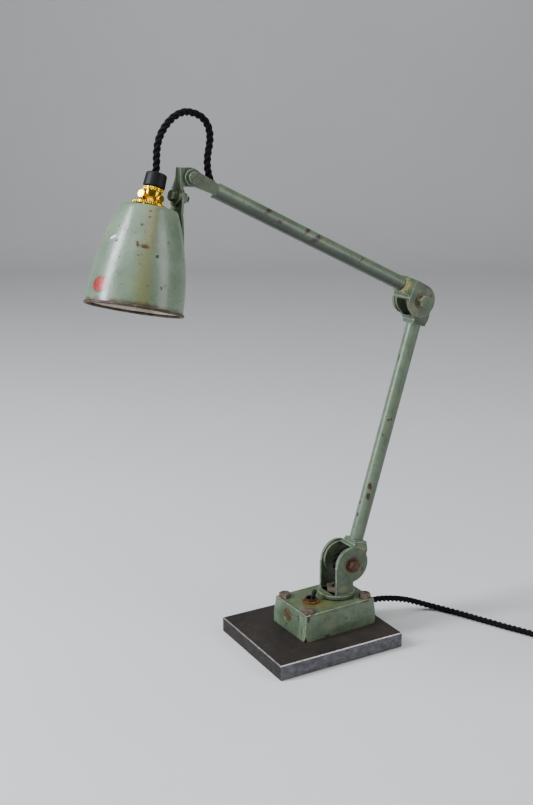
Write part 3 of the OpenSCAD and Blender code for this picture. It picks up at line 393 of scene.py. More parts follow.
def agedEnamel(name, look):
    material, tree = newMaterial(name)
    place = addNode(tree, "TexCoord")
    onIt = place.outputs["Object"]
    at = addNode(tree, "Mapping", {"vector_type": "TEXTURE"}, {
        "Vector": onIt, "Location": look.get("centre", (0, 0, 0)),
        "Rotation": look.get("turned", (0, 0, 0))})
    cloud = addNode(tree, "TexNoise", None, {"Vector": at, "Scale": 1 / (look["cloud"] * mm),
        "Detail": 5.0, "Roughness": 0.6})
    colour = addNode(tree, "ValToRGB", {"ramp": [
        (0.32, look["dark"]), (0.5, look["mid"]), (0.7, look["pale"])]}, {0: cloud})
    # grime in soft patches
    grime = addNode(tree, "TexNoise", None, {"Vector": at, "Scale": 1 / (look["cloud"] * 0.35 * mm),
        "Detail": 8.0, "Roughness": 0.7, "Distortion": 0.4})
    grimeRamp = addNode(tree, "ValToRGB", {"ramp": [(0.5, grey(0)), (0.72, grey(look["grime"]))]},
        {0: grime})
    colour = addNode(tree, "Mix", colourMix, {0: grimeRamp, 6: colour, 7: look["grimeColour"]})
    # yellowed varnish or old nicotine stain
    yellow = addNode(tree, "TexNoise", None, {"Vector": at, "Scale": 1 / (look["cloud"] * 1.3 * mm),
        "Detail": 3.0})
    yellowRamp = addNode(tree, "ValToRGB", {"ramp": [(0.55, grey(0)), (0.75, grey(look["yellowing"]))]},
        {0: yellow})
    colour = addNode(tree, "Mix", colourMix, {0: yellowRamp, 6: colour, 7: enamelLook["stain"]})
    parts = addNode(tree, "SeparateXYZ", None, {0: at})
    if "streak" in look:
        # a stain that runs down one side, and a rusty edge at the bottom
        around = addNode(tree, "Math", "ARCTAN2", {0: parts.outputs[1], 1: parts})
        wander = addNode(tree, "Math", "MULTIPLY_ADD", {0: cloud, 1: 0.5, 2: around})
        offLine = addNode(tree, "Math", "SUBTRACT", {0: wander, 1: look["streak"] + 0.25})
        away = addNode(tree, "Math", "ABSOLUTE", {0: offLine})
        band = addNode(tree, "MapRange", softStep, {0: away, 1: 0.0, 2: 0.3, 3: 0.62, 4: 0.0})
        colour = addNode(tree, "Mix", colourMix, {0: band, 6: colour, 7: enamelLook["runStain"]})
        low = addNode(tree, "Math", "MULTIPLY_ADD", {0: grime, 1: 0.009, 2: parts.outputs[2]})
        edge = addNode(tree, "MapRange", softStep, {
            0: low, 1: look["bottom"] + 0.0035, 2: look["bottom"] + 0.0085, 3: 0.92, 4: 0.0})
        colour = addNode(tree, "Mix", colourMix, {0: edge, 6: colour, 7: enamelLook["rustyFoot"]})
    rustNoise = addNode(tree, "TexNoise", None, {"Vector": at,
        "Scale": 1 / (enamelLook["rustGrain"] * mm), "Detail": 6.0})
    rustRamp = addNode(tree, "ValToRGB", {"ramp": list(zip((0.35, 0.55, 0.75), enamelLook["rust"]))},
        {0: rustNoise})
    # painted shade on the undersides: faces that turn down are darkened, also standing for soot and handling grime
    turnedTo = addNode(tree, "SeparateXYZ", None, {0: place.outputs["Normal"]})
    below = addNode(tree, "MapRange", softStep, {
        0: turnedTo.outputs[2], 1: -0.7, 2: 0.35, 3: look["under"], 4: 0.0})
    colour = addNode(tree, "Mix", colourMix, {0: below, 6: colour, 7: enamelLook["soot"]})
    # knocks, scratches and stains, each where it is on the lamp, and a few larger patches of painted shade
    ragged = addNode(tree, "TexNoise", None, {"Vector": onIt, "Scale": 1 / (enamelLook["ragged"] * mm),
        "Detail": 5.0, "Roughness": 0.75})
    for mark in look.get("marks", []):
        turn = Matrix.Rotation(math.radians(mark["turn"]), 3, "Z").to_quaternion()
        facing = Vector(mark["facing"]).to_track_quat("Z", "Y") @ turn
        near = addNode(tree, "Mapping", {"vector_type": "TEXTURE"}, {
            "Vector": onIt, "Location": Vector(mark["at"]) * mm, "Rotation": facing.to_euler(),
            "Scale": (mark["size"][0] * mm, mark["size"][1] * mm, enamelLook["markDepth"] * mm)})
        far = addNode(tree, "VectorMath", "LENGTH", {0: near})
        torn = addNode(tree, "Math", "MULTIPLY_ADD", {0: ragged, 1: mark["torn"], 2: far.outputs["Value"]})
        inside = addNode(tree, "MapRange", softStep, {
            0: torn, 1: 0.9 + 0.5 * mark["torn"], 2: 1.0 + 0.5 * mark["torn"], 3: mark["cover"], 4: 0.0})
        colour = addNode(tree, "Mix", colourMix, {0: inside, 6: colour, 7: mark["colour"]})
    # rust: a few larger blooms and a scatter of pinpricks
    bloom = addNode(tree, "TexVoronoi", None, {"Vector": at, "Scale": 1 / (look["bloomGap"] * mm),
        "Randomness": 1.0})
    bloomTorn = addNode(tree, "Math", "MULTIPLY_ADD", {0: ragged, 1: 0.3, 2: bloom})
    bloomRamp = addNode(tree, "MapRange", softStep, {
        0: bloomTorn, 1: 0.19 + look["rust"], 2: 0.22 + look["rust"], 3: 1.0, 4: 0.0})
    prick = addNode(tree, "TexVoronoi", None, {"Vector": at, "Scale": 1 / (look["prickGap"] * mm)})
    prickRamp = addNode(tree, "MapRange", softStep, {0: prick, 1: 0.09, 2: 0.17, 3: 0.9, 4: 0.0})
    sparse = addNode(tree, "MapRange", softStep, {0: yellow, 1: 0.45, 2: 0.6, 3: 0.0, 4: 1.0})
    pricks = addNode(tree, "Math", "MULTIPLY", {0: prickRamp, 1: sparse})
    rust = addNode(tree, "Math", "MAXIMUM", {0: bloomRamp, 1: pricks})
    colour = addNode(tree, "Mix", colourMix, {0: rust, 6: colour, 7: rustRamp})
    if "edgeWear" in look:
        # bare, browned metal where the corners have rubbed through
        chips = addNode(tree, "TexNoise", None, {"Vector": at, "Scale": 1 / (enamelLook["chip"] * mm),
            "Detail": 6.0, "Roughness": 0.75})
        chipRamp = addNode(tree, "MapRange", softStep, {
            0: chips, 1: 0.62 - look["edgeWear"], 2: 0.68 - look["edgeWear"], 3: 0.0, 4: 1.0})
        colour = addNode(tree, "Mix", colourMix, {0: chipRamp, 6: colour, 7: look["edgeColour"]})
    speckle = addNode(tree, "TexNoise", None, {"Vector": at, "Scale": 1 / (enamelLook["speck"] * mm),
        "Detail": 4.0, "Roughness": 0.7})
    dulled = addNode(tree, "Math", "MULTIPLY_ADD", {0: speckle, 1: 0.35, 2: -0.17})
    smeared = addNode(tree, "MapRange", None, {0: grime, 1: 0.3, 2: 0.7, 3: look["gloss"][0],
        4: look["gloss"][1]})
    rough = addNode(tree, "Math", {"operation": "ADD", "use_clamp": True}, {0: smeared, 1: dulled})
    roughRust = addNode(tree, "Mix", None, {0: rust, 2: rough, 3: 0.85})
    ripple = addNode(tree, "TexNoise", None, {"Vector": at, "Scale": 1 / (look["ripple"] * mm),
        "Detail": 6.0, "Roughness": 0.62})
    height = addNode(tree, "Math", "MULTIPLY_ADD", {0: rust, 1: -0.5, 2: ripple})
    bump = addNode(tree, "Bump", None, {"Strength": look["rippleDepth"], "Distance": 0.0003,
        "Height": height})
    surface = addNode(tree, "BsdfPrincipled", None, {
        "Base Color": colour, "Roughness": roughRust, "Normal": bump, "IOR": 1.5,
        "Coat Weight": look["coat"], "Coat Roughness": 0.15})
    addNode(tree, "OutputMaterial", None, {0: surface})
    return material


# Metals with their own weathering: clouded tones drawn out along the grain, spots, and a fine tooth
def wornMetal(name, look):
    material, tree = newMaterial(name)
    onIt = addNode(tree, "TexCoord").outputs["Object"]
    at = addNode(tree, "Mapping", None, {"Vector": onIt, "Scale": look.get("grain", (1, 1, 1))})
    cloud = addNode(tree, "TexNoise", None, {"Vector": at, "Scale": 1 / (look["cloud"] * mm),
        "Detail": 7.0, "Roughness": 0.65})
    steps = len(look["tones"]) - 1
    ramp = [(0.3 + 0.4 * k / steps, tone) for k, tone in enumerate(look["tones"])]
    tones = addNode(tree, "ValToRGB", {"ramp": ramp}, {0: cloud})
    spot = addNode(tree, "TexNoise", None, {"Vector": onIt, "Scale": 1 / (look["spotGap"] * mm),
        "Detail": 8.0, "Roughness": 0.75})
    spots = addNode(tree, "MapRange", softStep, {0: spot, 1: look["spotFrom"], 2: look["spotFrom"] + 0.1,
        3: 0.0, 4: 1.0})
    colour = addNode(tree, "Mix", colourMix, {0: spots, 6: tones, 7: look["spotColour"]})
    rough = addNode(tree, "MapRange", None, {0: spot, 1: 0.3, 2: 0.7, 3: look["gloss"][0],
        4: look["gloss"][1]})
    dull = addNode(tree, "Math", "MULTIPLY_ADD",
        {0: spots, 1: -look["dulling"] * look["metallic"], 2: look["metallic"]})
    tooth = addNode(tree, "TexNoise", None, {"Vector": at, "Scale": 1 / (look["tooth"] * mm), "Detail": 4.0})
    bump = addNode(tree, "Bump", None, {"Strength": look["toothDepth"], "Distance": 0.0002, "Height": tooth})
    surface = addNode(tree, "BsdfPrincipled", None, {
        "Base Color": colour, "Roughness": rough, "Metallic": dull, "Normal": bump})
    addNode(tree, "OutputMaterial", None, {0: surface})
    return material


# Mouldings, glazes and glass: an even colour with slight clouding and finger marks in the gloss
def moulded(name, look):
    material, tree = newMaterial(name)
    onIt = addNode(tree, "TexCoord").outputs["Object"]
    cloud = addNode(tree, "TexNoise", None, {"Vector": onIt, "Scale": 1 / (look["cloud"] * mm),
        "Detail": 5.0, "Roughness": 0.6})
    tones = addNode(tree, "ValToRGB", {"ramp": list(zip((0.35, 0.68), look["tones"]))}, {0: cloud})
    rough = addNode(tree, "MapRange", None, {0: cloud, 1: 0.3, 2: 0.7, 3: look["gloss"][0],
        4: look["gloss"][1]})
    fine = addNode(tree, "TexNoise", None, {"Vector": onIt, "Scale": 1 / (look["tooth"] * mm),
        "Detail": 3.0})
    bump = addNode(tree, "Bump", None, {"Strength": look["toothDepth"], "Distance": 0.0001, "Height": fine})
    surface = addNode(tree, "BsdfPrincipled", None, {
        "Base Color": tones, "Roughness": rough, "Normal": bump, "IOR": look["ior"],
        "Specular IOR Level": look.get("shine", 0.5),
        "Transmission Weight": look.get("clear", 0.0), "Subsurface Weight": look.get("milky", 0.0)})
    addNode(tree, "OutputMaterial", None, {0: surface})
    return material


# The shade's own frame: the middle of its top, Z up the shade
shadeLook = {
    "topRadius": 23.1, "middleRadius": 34.5, "mouthRadius": 38.4, "length": 78, "wall": 1.0, "hole": 12,
    "back": 23.0,  # mm from the tilt bolt's plane to the shade's axis
    "drop": 14.5,
    "side": -8.4,  # degrees about the tilt bolt at rest
    "around": 128, "down": 44,
    # the rounded shoulder: how far the bell's first ring drops and grows, then radius and height inward
    "drops": 0.9, "grows": 0.2, "shoulder": ((22.95, -0.45), (22.5, -0.12), (21.7, 0)),
}
tiltJoint = next(j for j in frame["joints"] if j["name"] == "shade_tilt")
tiltAt = Vector(tiltJoint["pos_m"])
tiltAxis = Vector(tiltJoint["axis"]).normalized()
lean = math.atan2(-tiltAxis.z, tiltAxis.x)
tiltFrame = Matrix.Translation(tiltAt) @ Matrix.Rotation(lean, 4, "Y")
shadeFrame = tiltFrame @ Matrix.Rotation(math.radians(shadeLook["side"]), 4, "X") @ Matrix.Translation(
    (-shadeLook["back"] * mm, 0, -shadeLook["drop"] * mm))
holderLook = {"above": 1.2, "lean": 5}  # mm over the shade's top, degrees
seat = shadeFrame @ Matrix.Translation((0, 0, holderLook["above"] * mm))
holderFrame = seat @ Matrix.Rotation(math.radians(holderLook["lean"]), 4, "Y")


# a mark on the enamel: mostly wear, rust and stains, a few are painted shade
def wearAndShadeMark(at, facing, size, torn, colour, turn=0, cover=1.0):
    # where it is and its half sizes, in mm, the way its surface faces, and how ragged its outline is
    return {"at": at, "facing": facing, "size": size, "torn": torn, "colour": colour, "turn": turn,
        "cover": cover}


shadeMarks = [
    wearAndShadeMark((-176.1, -33.1, 386.1), (-0.29, -0.85, 0.44), (3.0, 1.9), 3.4, "#553222", turn=-15),
    wearAndShadeMark((-180.6, -30.1, 387.8), (-0.45, -0.76, 0.47), (1.3, 2.6), 3.6, "#4f3423", turn=10),
    wearAndShadeMark((-168.3, -37.8, 378.5), (-0.03, -0.94, 0.35), (1.8, 1.3), 1.2, "#332a22", turn=20),
    wearAndShadeMark((-165.3, -21.8, 410.9), (-0.25, -0.8, 0.54), (1.3, 0.8), 1.2, "#4a3420"),
    wearAndShadeMark((-167.1, -24.0, 406.7), (-0.25, -0.81, 0.53), (1.1, 1.0), 1.2, "#51401f"),
    wearAndShadeMark((-156.7, -33.2, 387.6), (0.22, -0.92, 0.34), (0.9, 0.8), 1.0, "#463a26"),
    wearAndShadeMark((-193.6, -25.1, 378.8), (-0.71, -0.54, 0.46), (0.8, 0.8), 1.0, "#4c4432"),
    # a purple-grey scratch, with a white painted highlight along its middle
    wearAndShadeMark((-194.6, -7.6, 389.4), (-0.86, -0.12, 0.49), (8.0, 1.1), 0.9, "#77727c", turn=28),
    wearAndShadeMark((-192.1, -11.9, 392.2), (-0.82, -0.27, 0.51), (3.4, 1.3), 0.9, "#dcdbe0", turn=28),
    # a worn patch of plain red, with nothing on it
    wearAndShadeMark((-207.2, -18.5, 358.6), (-0.91, -0.24, 0.35), (9.6, 6.6), 0.9, "#3b3427", turn=8),
    wearAndShadeMark((-207.2, -18.5, 358.6), (-0.91, -0.24, 0.35), (8.8, 5.8), 1.5, "#9c2b26", turn=8),
]
tubeMarks = [
    wearAndShadeMark((-49.4, -4.7, 404.3), (0.29, -0.73, 0.61), (9.0, 1.8), 3.4, "#3f2c20", turn=26),
    wearAndShadeMark((-40.2, -6.6, 394.4), (0, -1, 0), (2.4, 1.5), 1.5, "#33241b", turn=-25),
    wearAndShadeMark((-5.0, -6.5, 376.4), (-0.06, -0.99, -0.13), (10.5, 2.6), 3.2, "#3a2a20", turn=26),
    wearAndShadeMark((-10.8, -4.9, 385.6), (0.29, -0.75, 0.6), (8.0, 1.6), 3.4, "#3d2e22", turn=26),
    wearAndShadeMark((44.6, -6.3, 356.4), (0.13, -0.96, 0.27), (4.5, 0.8), 1.4, "#4a3523", turn=26),
    wearAndShadeMark((-69.0, -6.6, 408.6), (0, -1, 0), (0.9, 0.8), 0.9, "#33271d"),
    wearAndShadeMark((61.0, -5.0, 143.0), (-0.65, -0.73, 0.2), (2.0, 3.4), 3.2, "#43291a"),
    wearAndShadeMark((58.7, -5.4, 133.6), (-0.54, -0.83, 0.16), (2.1, 3.6), 3.2, "#3f2719"),
    wearAndShadeMark((53.8, 0.5, 126.6), (-0.95, 0.08, 0.29), (1.3, 2.0), 1.4, "#48301d"),
    wearAndShadeMark((50.5, -0.8, 115.6), (-0.95, -0.08, 0.29), (1.5, 2.0), 1.4, "#3b281b"),
    wearAndShadeMark((82.6, -6.4, 205.1), (-0.28, -0.96, 0.09), (1.1, 1.2), 1.0, "#38261a"),
    wearAndShadeMark((94.2, -0.2, 261.5), (-0.95, -0.08, 0.29), (0.8, 4.0), 1.2, "#3f3323"),
    wearAndShadeMark((74.6, -4.2, 190.7), (-0.75, -0.62, 0.23), (0.8, 1.3), 1.0, "#3f3323"),
]
bracketMarks = [
    wearAndShadeMark((93.0, -7.3, 330.0), (-0.9, 0, 0.43), (9.0, 7.0), 2.4, "#a89d58", cover=0.75),
    wearAndShadeMark((119.2, -12.5, 318.5), (0, -1, 0), (1.6, 1.5), 2.4, "#4a2a22"),
    wearAndShadeMark((114.1, -12.5, 327.0), (0, -1, 0), (3.6, 1.2), 3.0, "#4b3023", turn=-30),
    wearAndShadeMark((109.0, -12.5, 314.6), (0, -1, 0), (8.6, 8.6), 1.6, "#4a3d24", cover=0.65),
    wearAndShadeMark((36.4, -14.0, 72.5), (0, -1, 0), (8.8, 8.8), 1.8, "#5b3a1c", cover=0.7),
    wearAndShadeMark((47.5, -14.0, 66.0), (0, -1, 0), (1.6, 2.2), 2.6, "#4c2b1c"),
    wearAndShadeMark((25.8, -14.0, 50.0), (0, -1, 0), (5.0, 3.0), 2.6, "#7f7a48", cover=0.4),
    wearAndShadeMark((28.0, -2.0, 41.6), (0, 0, 1), (18.0, 10.0), 2.0, "#5f5a20", cover=0.6),
    wearAndShadeMark((-127.6, -4.5, 424.0), (0, -1, 0), (1.3, 4.0), 2.6, "#756a3b", cover=0.8),
]
boxMarks = [
    wearAndShadeMark((-2.0, -3.5, 40.0), (0, 0, 1), (12.5, 8.5), 2.2, "#6d5620", turn=20, cover=0.8),
    wearAndShadeMark((6.0, -12.5, 40.0), (0, 0, 1), (11.0, 4.0), 2.8, "#7b6a2c", turn=15, cover=0.6),
    wearAndShadeMark((-20.5, -26.4, 37.0), (0, -1, 0.09), (1.8, 4.2), 2.4, "#2f2318"),
    wearAndShadeMark((-17.0, -19.8, 40.0), (0, 0, 1), (8.0, 7.5), 1.2, "#453420", cover=0.7),
    wearAndShadeMark((-17.0, 19.8, 40.0), (0, 0, 1), (7.6, 7.2), 1.2, "#453a22", cover=0.6),
    wearAndShadeMark((47.0, -19.8, 40.0), (0, 0, 1), (7.6, 7.2), 1.2, "#45361f", cover=0.6),
    wearAndShadeMark((7.9, -25.3, 39.6), (0, -0.7, 0.7), (1.4, 1.5), 1.8, "#2c241a"),
    wearAndShadeMark((-24.9, 5.1, 18.8), (-1, 0, 0.09), (1.3, 1.2), 1.0, "#1f1c16"),
    wearAndShadeMark((-0.4, -28.2, 16.2), (0, -1, 0.09), (3.4, 1.1), 2.8, "#332a1c"),
    wearAndShadeMark((-23.6, -14.0, 33.0), (-1, 0, 0.09), (0.8, 5.0), 2.4, "#2c2a1c"),
    wearAndShadeMark((-24.4, -21.0, 24.0), (-1, 0, 0.09), (0.8, 7.0), 2.6, "#35351f", cover=0.8),
    # painted shade over most of the left face, darkening that side
    wearAndShadeMark((-24.0, 0.0, 27.0), (-1, 0, 0.09), (17.0, 34.0), 1.2, "#39452f", cover=0.55),
    # painted shade over most of the top, in a dull yellowish dirt tone
    wearAndShadeMark((15.0, 0.0, 40.0), (0, 0, 1), (48.0, 34.0), 2.2, "#434a22", cover=0.5),
    wearAndShadeMark((44.0, -26.0, 38.6), (0, -1, 0.09), (5.0, 1.0), 3.0, "#3b3020"),
    wearAndShadeMark((20.0, -27.9, 19.0), (0, -1, 0.09), (18.0, 4.0), 3.0, "#374027", cover=0.5),
]
shadeEnamel = agedEnamel("greyGreenEnamelShade", {
    "dark": "#62735d", "mid": "#70826c", "pale": "#80917d", "cloud": 30, "grime": 0.3,
    "grimeColour": "#4f5943", "yellowing": 0.35, "bloomGap": 19,
    "prickGap": 5.5, "rust": 0.0, "gloss": (0.2, 0.4), "ripple": 2.0, "rippleDepth": 0.6, "under": 0.0,
    "coat": 0.3, "streak": -1.93, "bottom": -0.078,
    "centre": shadeFrame.to_translation(), "turned": shadeFrame.to_euler(), "marks": shadeMarks})
tubeEnamel = agedEnamel("greyGreenEnamelTube", {
    "dark": "#4e5c48", "mid": "#5f6f59", "pale": "#6d7c67", "cloud": 24, "grime": 0.45,
    "grimeColour": "#39442f", "yellowing": 0.3, "bloomGap": 16,
    "prickGap": 4.2, "rust": 0.015, "gloss": (0.24, 0.45), "ripple": 2.0, "rippleDepth": 0.5,
    "under": 0.92, "coat": 0.1, "marks": tubeMarks})
bracketEnamel = agedEnamel("greenEnamelBracket", {
    "dark": "#414f38", "mid": "#52614a", "pale": "#637255", "cloud": 12, "grime": 0.5,
    "grimeColour": "#2f3825", "yellowing": 0.7, "bloomGap": 10,
    "prickGap": 3.4, "rust": 0.02, "gloss": (0.28, 0.55), "ripple": 1.8, "rippleDepth": 0.5, "under": 0.9,
    "coat": 0.1, "marks": bracketMarks})
boxEnamel = agedEnamel("greenEnamelCastBox", {
    "dark": "#495a42", "mid": "#5b6d54", "pale": "#6b7c63", "cloud": 14, "grime": 0.45,
    "grimeColour": "#333d2b", "yellowing": 0.3, "bloomGap": 12,
    "prickGap": 3.8, "rust": 0.02, "gloss": (0.28, 0.55), "ripple": 1.6, "rippleDepth": 0.55,
    "under": 0.5, "coat": 0.15, "marks": boxMarks})
# worn edges: paler than the paint, partly rubbed paint and partly a painted highlight along the edges, chipped to
# brown bare metal in places
wornEdgeAndHighlight = agedEnamel("greenEnamelWornEdgeAndHighlight", {
    "dark": "#5a6950", "mid": "#83917a", "pale": "#b4bfa8", "cloud": 4, "grime": 0.5,
    "grimeColour": "#4a4d3a", "yellowing": 0.5, "bloomGap": 7,
    "prickGap": 3, "rust": 0.06, "gloss": (0.3, 0.5), "ripple": 1.6, "rippleDepth": 0.3, "under": 0.3,
    "coat": 0.1, "edgeWear": 0.08, "edgeColour": "#5a4a38"})
# inside of the shade: white enamel gone cream, dusty
insideEnamel = agedEnamel("creamEnamelInside", {
    "dark": "#b9b4a2", "mid": "#d3cfbf", "pale": "#dedbce", "cloud": 22, "grime": 0.4,
    "grimeColour": "#8f8a76", "yellowing": 0.3, "bloomGap": 19,
    "prickGap": 5, "rust": 0.0, "gloss": (0.3, 0.5), "ripple": 3, "rippleDepth": 0.12, "under": 0.0,
    "coat": 0.2})
rimRust = wornMetal("rustedRolledRim", {
    "cloud": 6, "tones": ["#2b211a", "#4b3a2b", "#6f665a"], "spotGap": 3, "spotFrom": 0.55,
    "spotColour": "#6e4a2a", "gloss": (0.45, 0.8), "metallic": 0.35,
    "dulling": 0.8, "tooth": 0.6, "toothDepth": 0.5})
millScale = wornMetal("millScaleSteel", {
    "cloud": 30, "tones": ["#292421", "#36302b", "#443c36"], "spotGap": 7, "spotFrom": 0.62,
    "spotColour": "#4a3d33", "gloss": (0.42, 0.68), "metallic": 0.5,
    "dulling": 0.6, "tooth": 1.2, "toothDepth": 0.25})
groundSteel = wornMetal("groundSteelSide", {
    "cloud": 7, "grain": (1, 1, 1.6), "tones": ["#444346", "#5a595c", "#717074"], "spotGap": 5,
    "spotFrom": 0.6, "spotColour": "#56514d", "gloss": (0.34, 0.58),
    "metallic": 0.85, "dulling": 0.5, "tooth": 0.8, "toothDepth": 0.3})
# a darker copy of the side steel, for the X sides: painted shade
shadedSteelSide = wornMetal("steelSideInPaintedShade", {
    "cloud": 8, "grain": (1, 1, 2), "tones": ["#221d1a", "#2e2825", "#3d3733"], "spotGap": 5,
    "spotFrom": 0.6, "spotColour": "#54504d", "gloss": (0.5, 0.7),
    "metallic": 0.6, "dulling": 0.4, "tooth": 0.7, "toothDepth": 0.4})
brightEdge = wornMetal("brightSteelEdge", {
    "cloud": 5, "tones": ["#8b8883", "#aeaba6", "#c9c7c3"], "spotGap": 2.5, "spotFrom": 0.58,
    "spotColour": "#6b645c", "gloss": (0.25, 0.5), "metallic": 0.9,
    "dulling": 0.5, "tooth": 0.6, "toothDepth": 0.3})
rustySteel = wornMetal("rustedSteelBolt", {
    "cloud": 3.5, "tones": ["#4a3f36", "#776b5f", "#958a7e"], "spotGap": 2.2, "spotFrom": 0.5,
    "spotColour": "#553a22", "gloss": (0.4, 0.75), "metallic": 0.7,
    "dulling": 0.8, "tooth": 0.5, "toothDepth": 0.5})
brownSteel = wornMetal("brownedSteelBolt", {
    "cloud": 3, "tones": ["#2a1e16", "#463325", "#6a5646"], "spotGap": 2, "spotFrom": 0.5,
    "spotColour": "#5a3719", "gloss": (0.4, 0.7), "metallic": 0.5,
    "dulling": 0.8, "tooth": 0.5, "toothDepth": 0.5})
brightSteel = wornMetal("wornBrightSteel", {
    "cloud": 3, "tones": ["#8f8d89", "#b7b5b1", "#cfcdc9"], "spotGap": 2, "spotFrom": 0.6,
    "spotColour": "#6a5d50", "gloss": (0.25, 0.5), "metallic": 0.9,
    "dulling": 0.5, "tooth": 0.5, "toothDepth": 0.2})
polishedBrass = wornMetal("polishedBrass", {
    "cloud": 7, "tones": ["#bd9716", "#d9b02a", "#ecca4c"], "spotGap": 3.5, "spotFrom": 0.66,
    "spotColour": "#8a5a0e", "gloss": (0.1, 0.22), "metallic": 1.0,
    "dulling": 0.2, "tooth": 1.2, "toothDepth": 0.06})
dullBrass = wornMetal("tarnishedBrass", {
    "cloud": 3, "tones": ["#6a4a2c", "#94703f", "#b48f55"], "spotGap": 2, "spotFrom": 0.55,
    "spotColour": "#57371f", "gloss": (0.35, 0.6), "metallic": 0.9,
    "dulling": 0.5, "tooth": 0.6, "toothDepth": 0.35})
brownedBrass = wornMetal("brownedBrassPlug", {
    "cloud": 3, "tones": ["#3f3222", "#6b4f34", "#83664a"], "spotGap": 2, "spotFrom": 0.5,
    "spotColour": "#4c5a3e", "gloss": (0.4, 0.65), "metallic": 0.6,
    "dulling": 0.8, "tooth": 0.6, "toothDepth": 0.35})
blackMoulding = moulded("blackPhenolicMoulding",
    {"tones": ("#0b0b0c", "#141415"), "cloud": 9, "gloss": (0.45, 0.6), "tooth": 0.7, "toothDepth": 0.12,
    "ior": 1.55, "shine": 0.2})
brownMoulding = moulded("brownPhenolicMoulding",
    {"tones": ("#2a150d", "#3b2015"), "cloud": 8, "gloss": (0.3, 0.5), "tooth": 0.7, "toothDepth": 0.1,
    "ior": 1.55})
glazedWhite = moulded("glazedPorcelain", {"tones": ("#d8d2c4", "#e9e5da"), "cloud": 10,
    "gloss": (0.15, 0.3), "tooth": 1.5, "toothDepth": 0.05, "ior": 1.52})
opalGlass = moulded("opalBulbGlass", {"tones": ("#eceae2", "#f6f4ee"), "cloud": 14, "gloss": (0.12, 0.25),
    "tooth": 2, "toothDepth": 0.03, "ior": 1.5, "milky": 0.3})
tiePlastic = moulded("blackNylonTie", {"tones": ("#1b1c1c", "#2a2b2b"), "cloud": 5, "gloss": (0.4, 0.55),
    "tooth": 0.6, "toothDepth": 0.15, "ior": 1.53})
print("materials made")


# A CAD node copied, its loose triangles joined, and its sharp edges eased
bodyOf = {node: body for body, nodes in frame["record"]["behaviour"]["bodies"].items() for node in nodes}
easing = {
    "weld": 2e-6, "flat": 1.2, "sharp": 28,  # degrees between faces: what is joined, and what is eased
    "seat": 16.5,  # mm: edges that sit on the plate stay sharp
    "segments": 2, "even": 80,
}


def eased(name, node, material, width, edgeMaterial=None):
    b = bmesh.new()
    b.from_mesh(frame["nodes"][node].data)
    bmesh.ops.remove_doubles(b, verts=b.verts, dist=easing["weld"])
    bmesh.ops.dissolve_limit(b, angle_limit=math.radians(easing["flat"]), verts=b.verts, edges=b.edges)
    worn = b.edges.layers.float.new("bevel_weight_edge")
    for edge in b.edges:
        long = edge.calc_length() > 1.5 * width * mm or not edgeMaterial
        aboveSeat = min(v.co.z for v in edge.verts) > easing["seat"] * mm or node == "base_plate"
        sharp = len(edge.link_faces) == 2 and edge.calc_face_angle() > math.radians(easing["sharp"])
        edge[worn] = 1.0 if sharp and long and aboveSeat else 0.0
    mesh = bpy.data.meshes.new(name)
    b.to_mesh(mesh)
    b.free()
    made = bpy.data.objects.new(name, mesh)
    scene.collection.objects.link(made)
    mesh.materials.clear()
    mesh.materials.append(material)
    if edgeMaterial:
        mesh.materials.append(edgeMaterial)
    mesh.shade_smooth()
    bevel = made.modifiers.new("ease", "BEVEL")
    bevel.width = width * mm
    bevel.segments = easing["segments"]
    bevel.limit_method = "WEIGHT"
    bevel.miter_outer = "MITER_ARC"
    bevel.use_clamp_overlap = not edgeMaterial
    bevel.material = 1 if edgeMaterial else -1
    even = made.modifiers.new("even", "WEIGHTED_NORMAL")
    even.weight = easing["even"]
    applyModifiers(made)
    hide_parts(node)
    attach(made, bodyOf[node])
    return made


# Shade: a sheet spun to a bell, worked out from three radii
tree = shadeTree = newTree("spunBell", {
    "Top radius": ("NodeSocketFloat", 0.023), "Middle radius": ("NodeSocketFloat", 0.034),
    "Mouth radius": ("NodeSocketFloat", 0.038),
    "Length": ("NodeSocketFloat", 0.078), "Around": ("NodeSocketInt", 128), "Down": ("NodeSocketInt", 44),
    "Material": ("NodeSocketMaterial", None)})
given = addNode(tree, "NodeGroupInput")
grid = addNode(tree, "GeometryNodeMeshGrid", None,
    {"Size X": 1.0, "Size Y": 1.0, "Vertices X": given.outputs["Around"],
    "Vertices Y": given.outputs["Down"]})
where = addNode(tree, "GeometryNodeInputPosition")
cut = addNode(tree, "SeparateXYZ", None, {0: where})
turnHere = addNode(tree, "Math", "MULTIPLY", {0: cut, 1: 2 * math.pi})
u = addNode(tree, "Math", "ADD", {0: cut.outputs[1], 1: 0.5})
rest = addNode(tree, "Math", "SUBTRACT", {0: 1.0, 1: u})
twice = addNode(tree, "Math", "MULTIPLY_ADD", {0: u, 1: -2.0, 2: 1.0})
topPart = addNode(tree, "Math", "MULTIPLY", {0: rest, 1: twice})
midPart = addNode(tree, "Math", "MULTIPLY", {0: u, 1: rest})
lowPart = addNode(tree, "Math", "MULTIPLY", {0: u, 1: twice})
topR = addNode(tree, "Math", "MULTIPLY", {0: topPart, 1: given.outputs["Top radius"]})
midFour = addNode(tree, "Math", "MULTIPLY", {0: midPart, 1: 4.0})
midR = addNode(tree, "Math", "MULTIPLY_ADD", {0: midFour, 1: given.outputs["Middle radius"], 2: topR})
lowR = addNode(tree, "Math", "MULTIPLY", {0: lowPart, 1: given.outputs["Mouth radius"]})
bell = addNode(tree, "Math", "SUBTRACT", {0: midR, 1: lowR})
cosHere = addNode(tree, "Math", "COSINE", {0: turnHere})
sinHere = addNode(tree, "Math", "SINE", {0: turnHere})
x = addNode(tree, "Math", "MULTIPLY", {0: cosHere, 1: bell})
y = addNode(tree, "Math", "MULTIPLY", {0: sinHere, 1: bell})
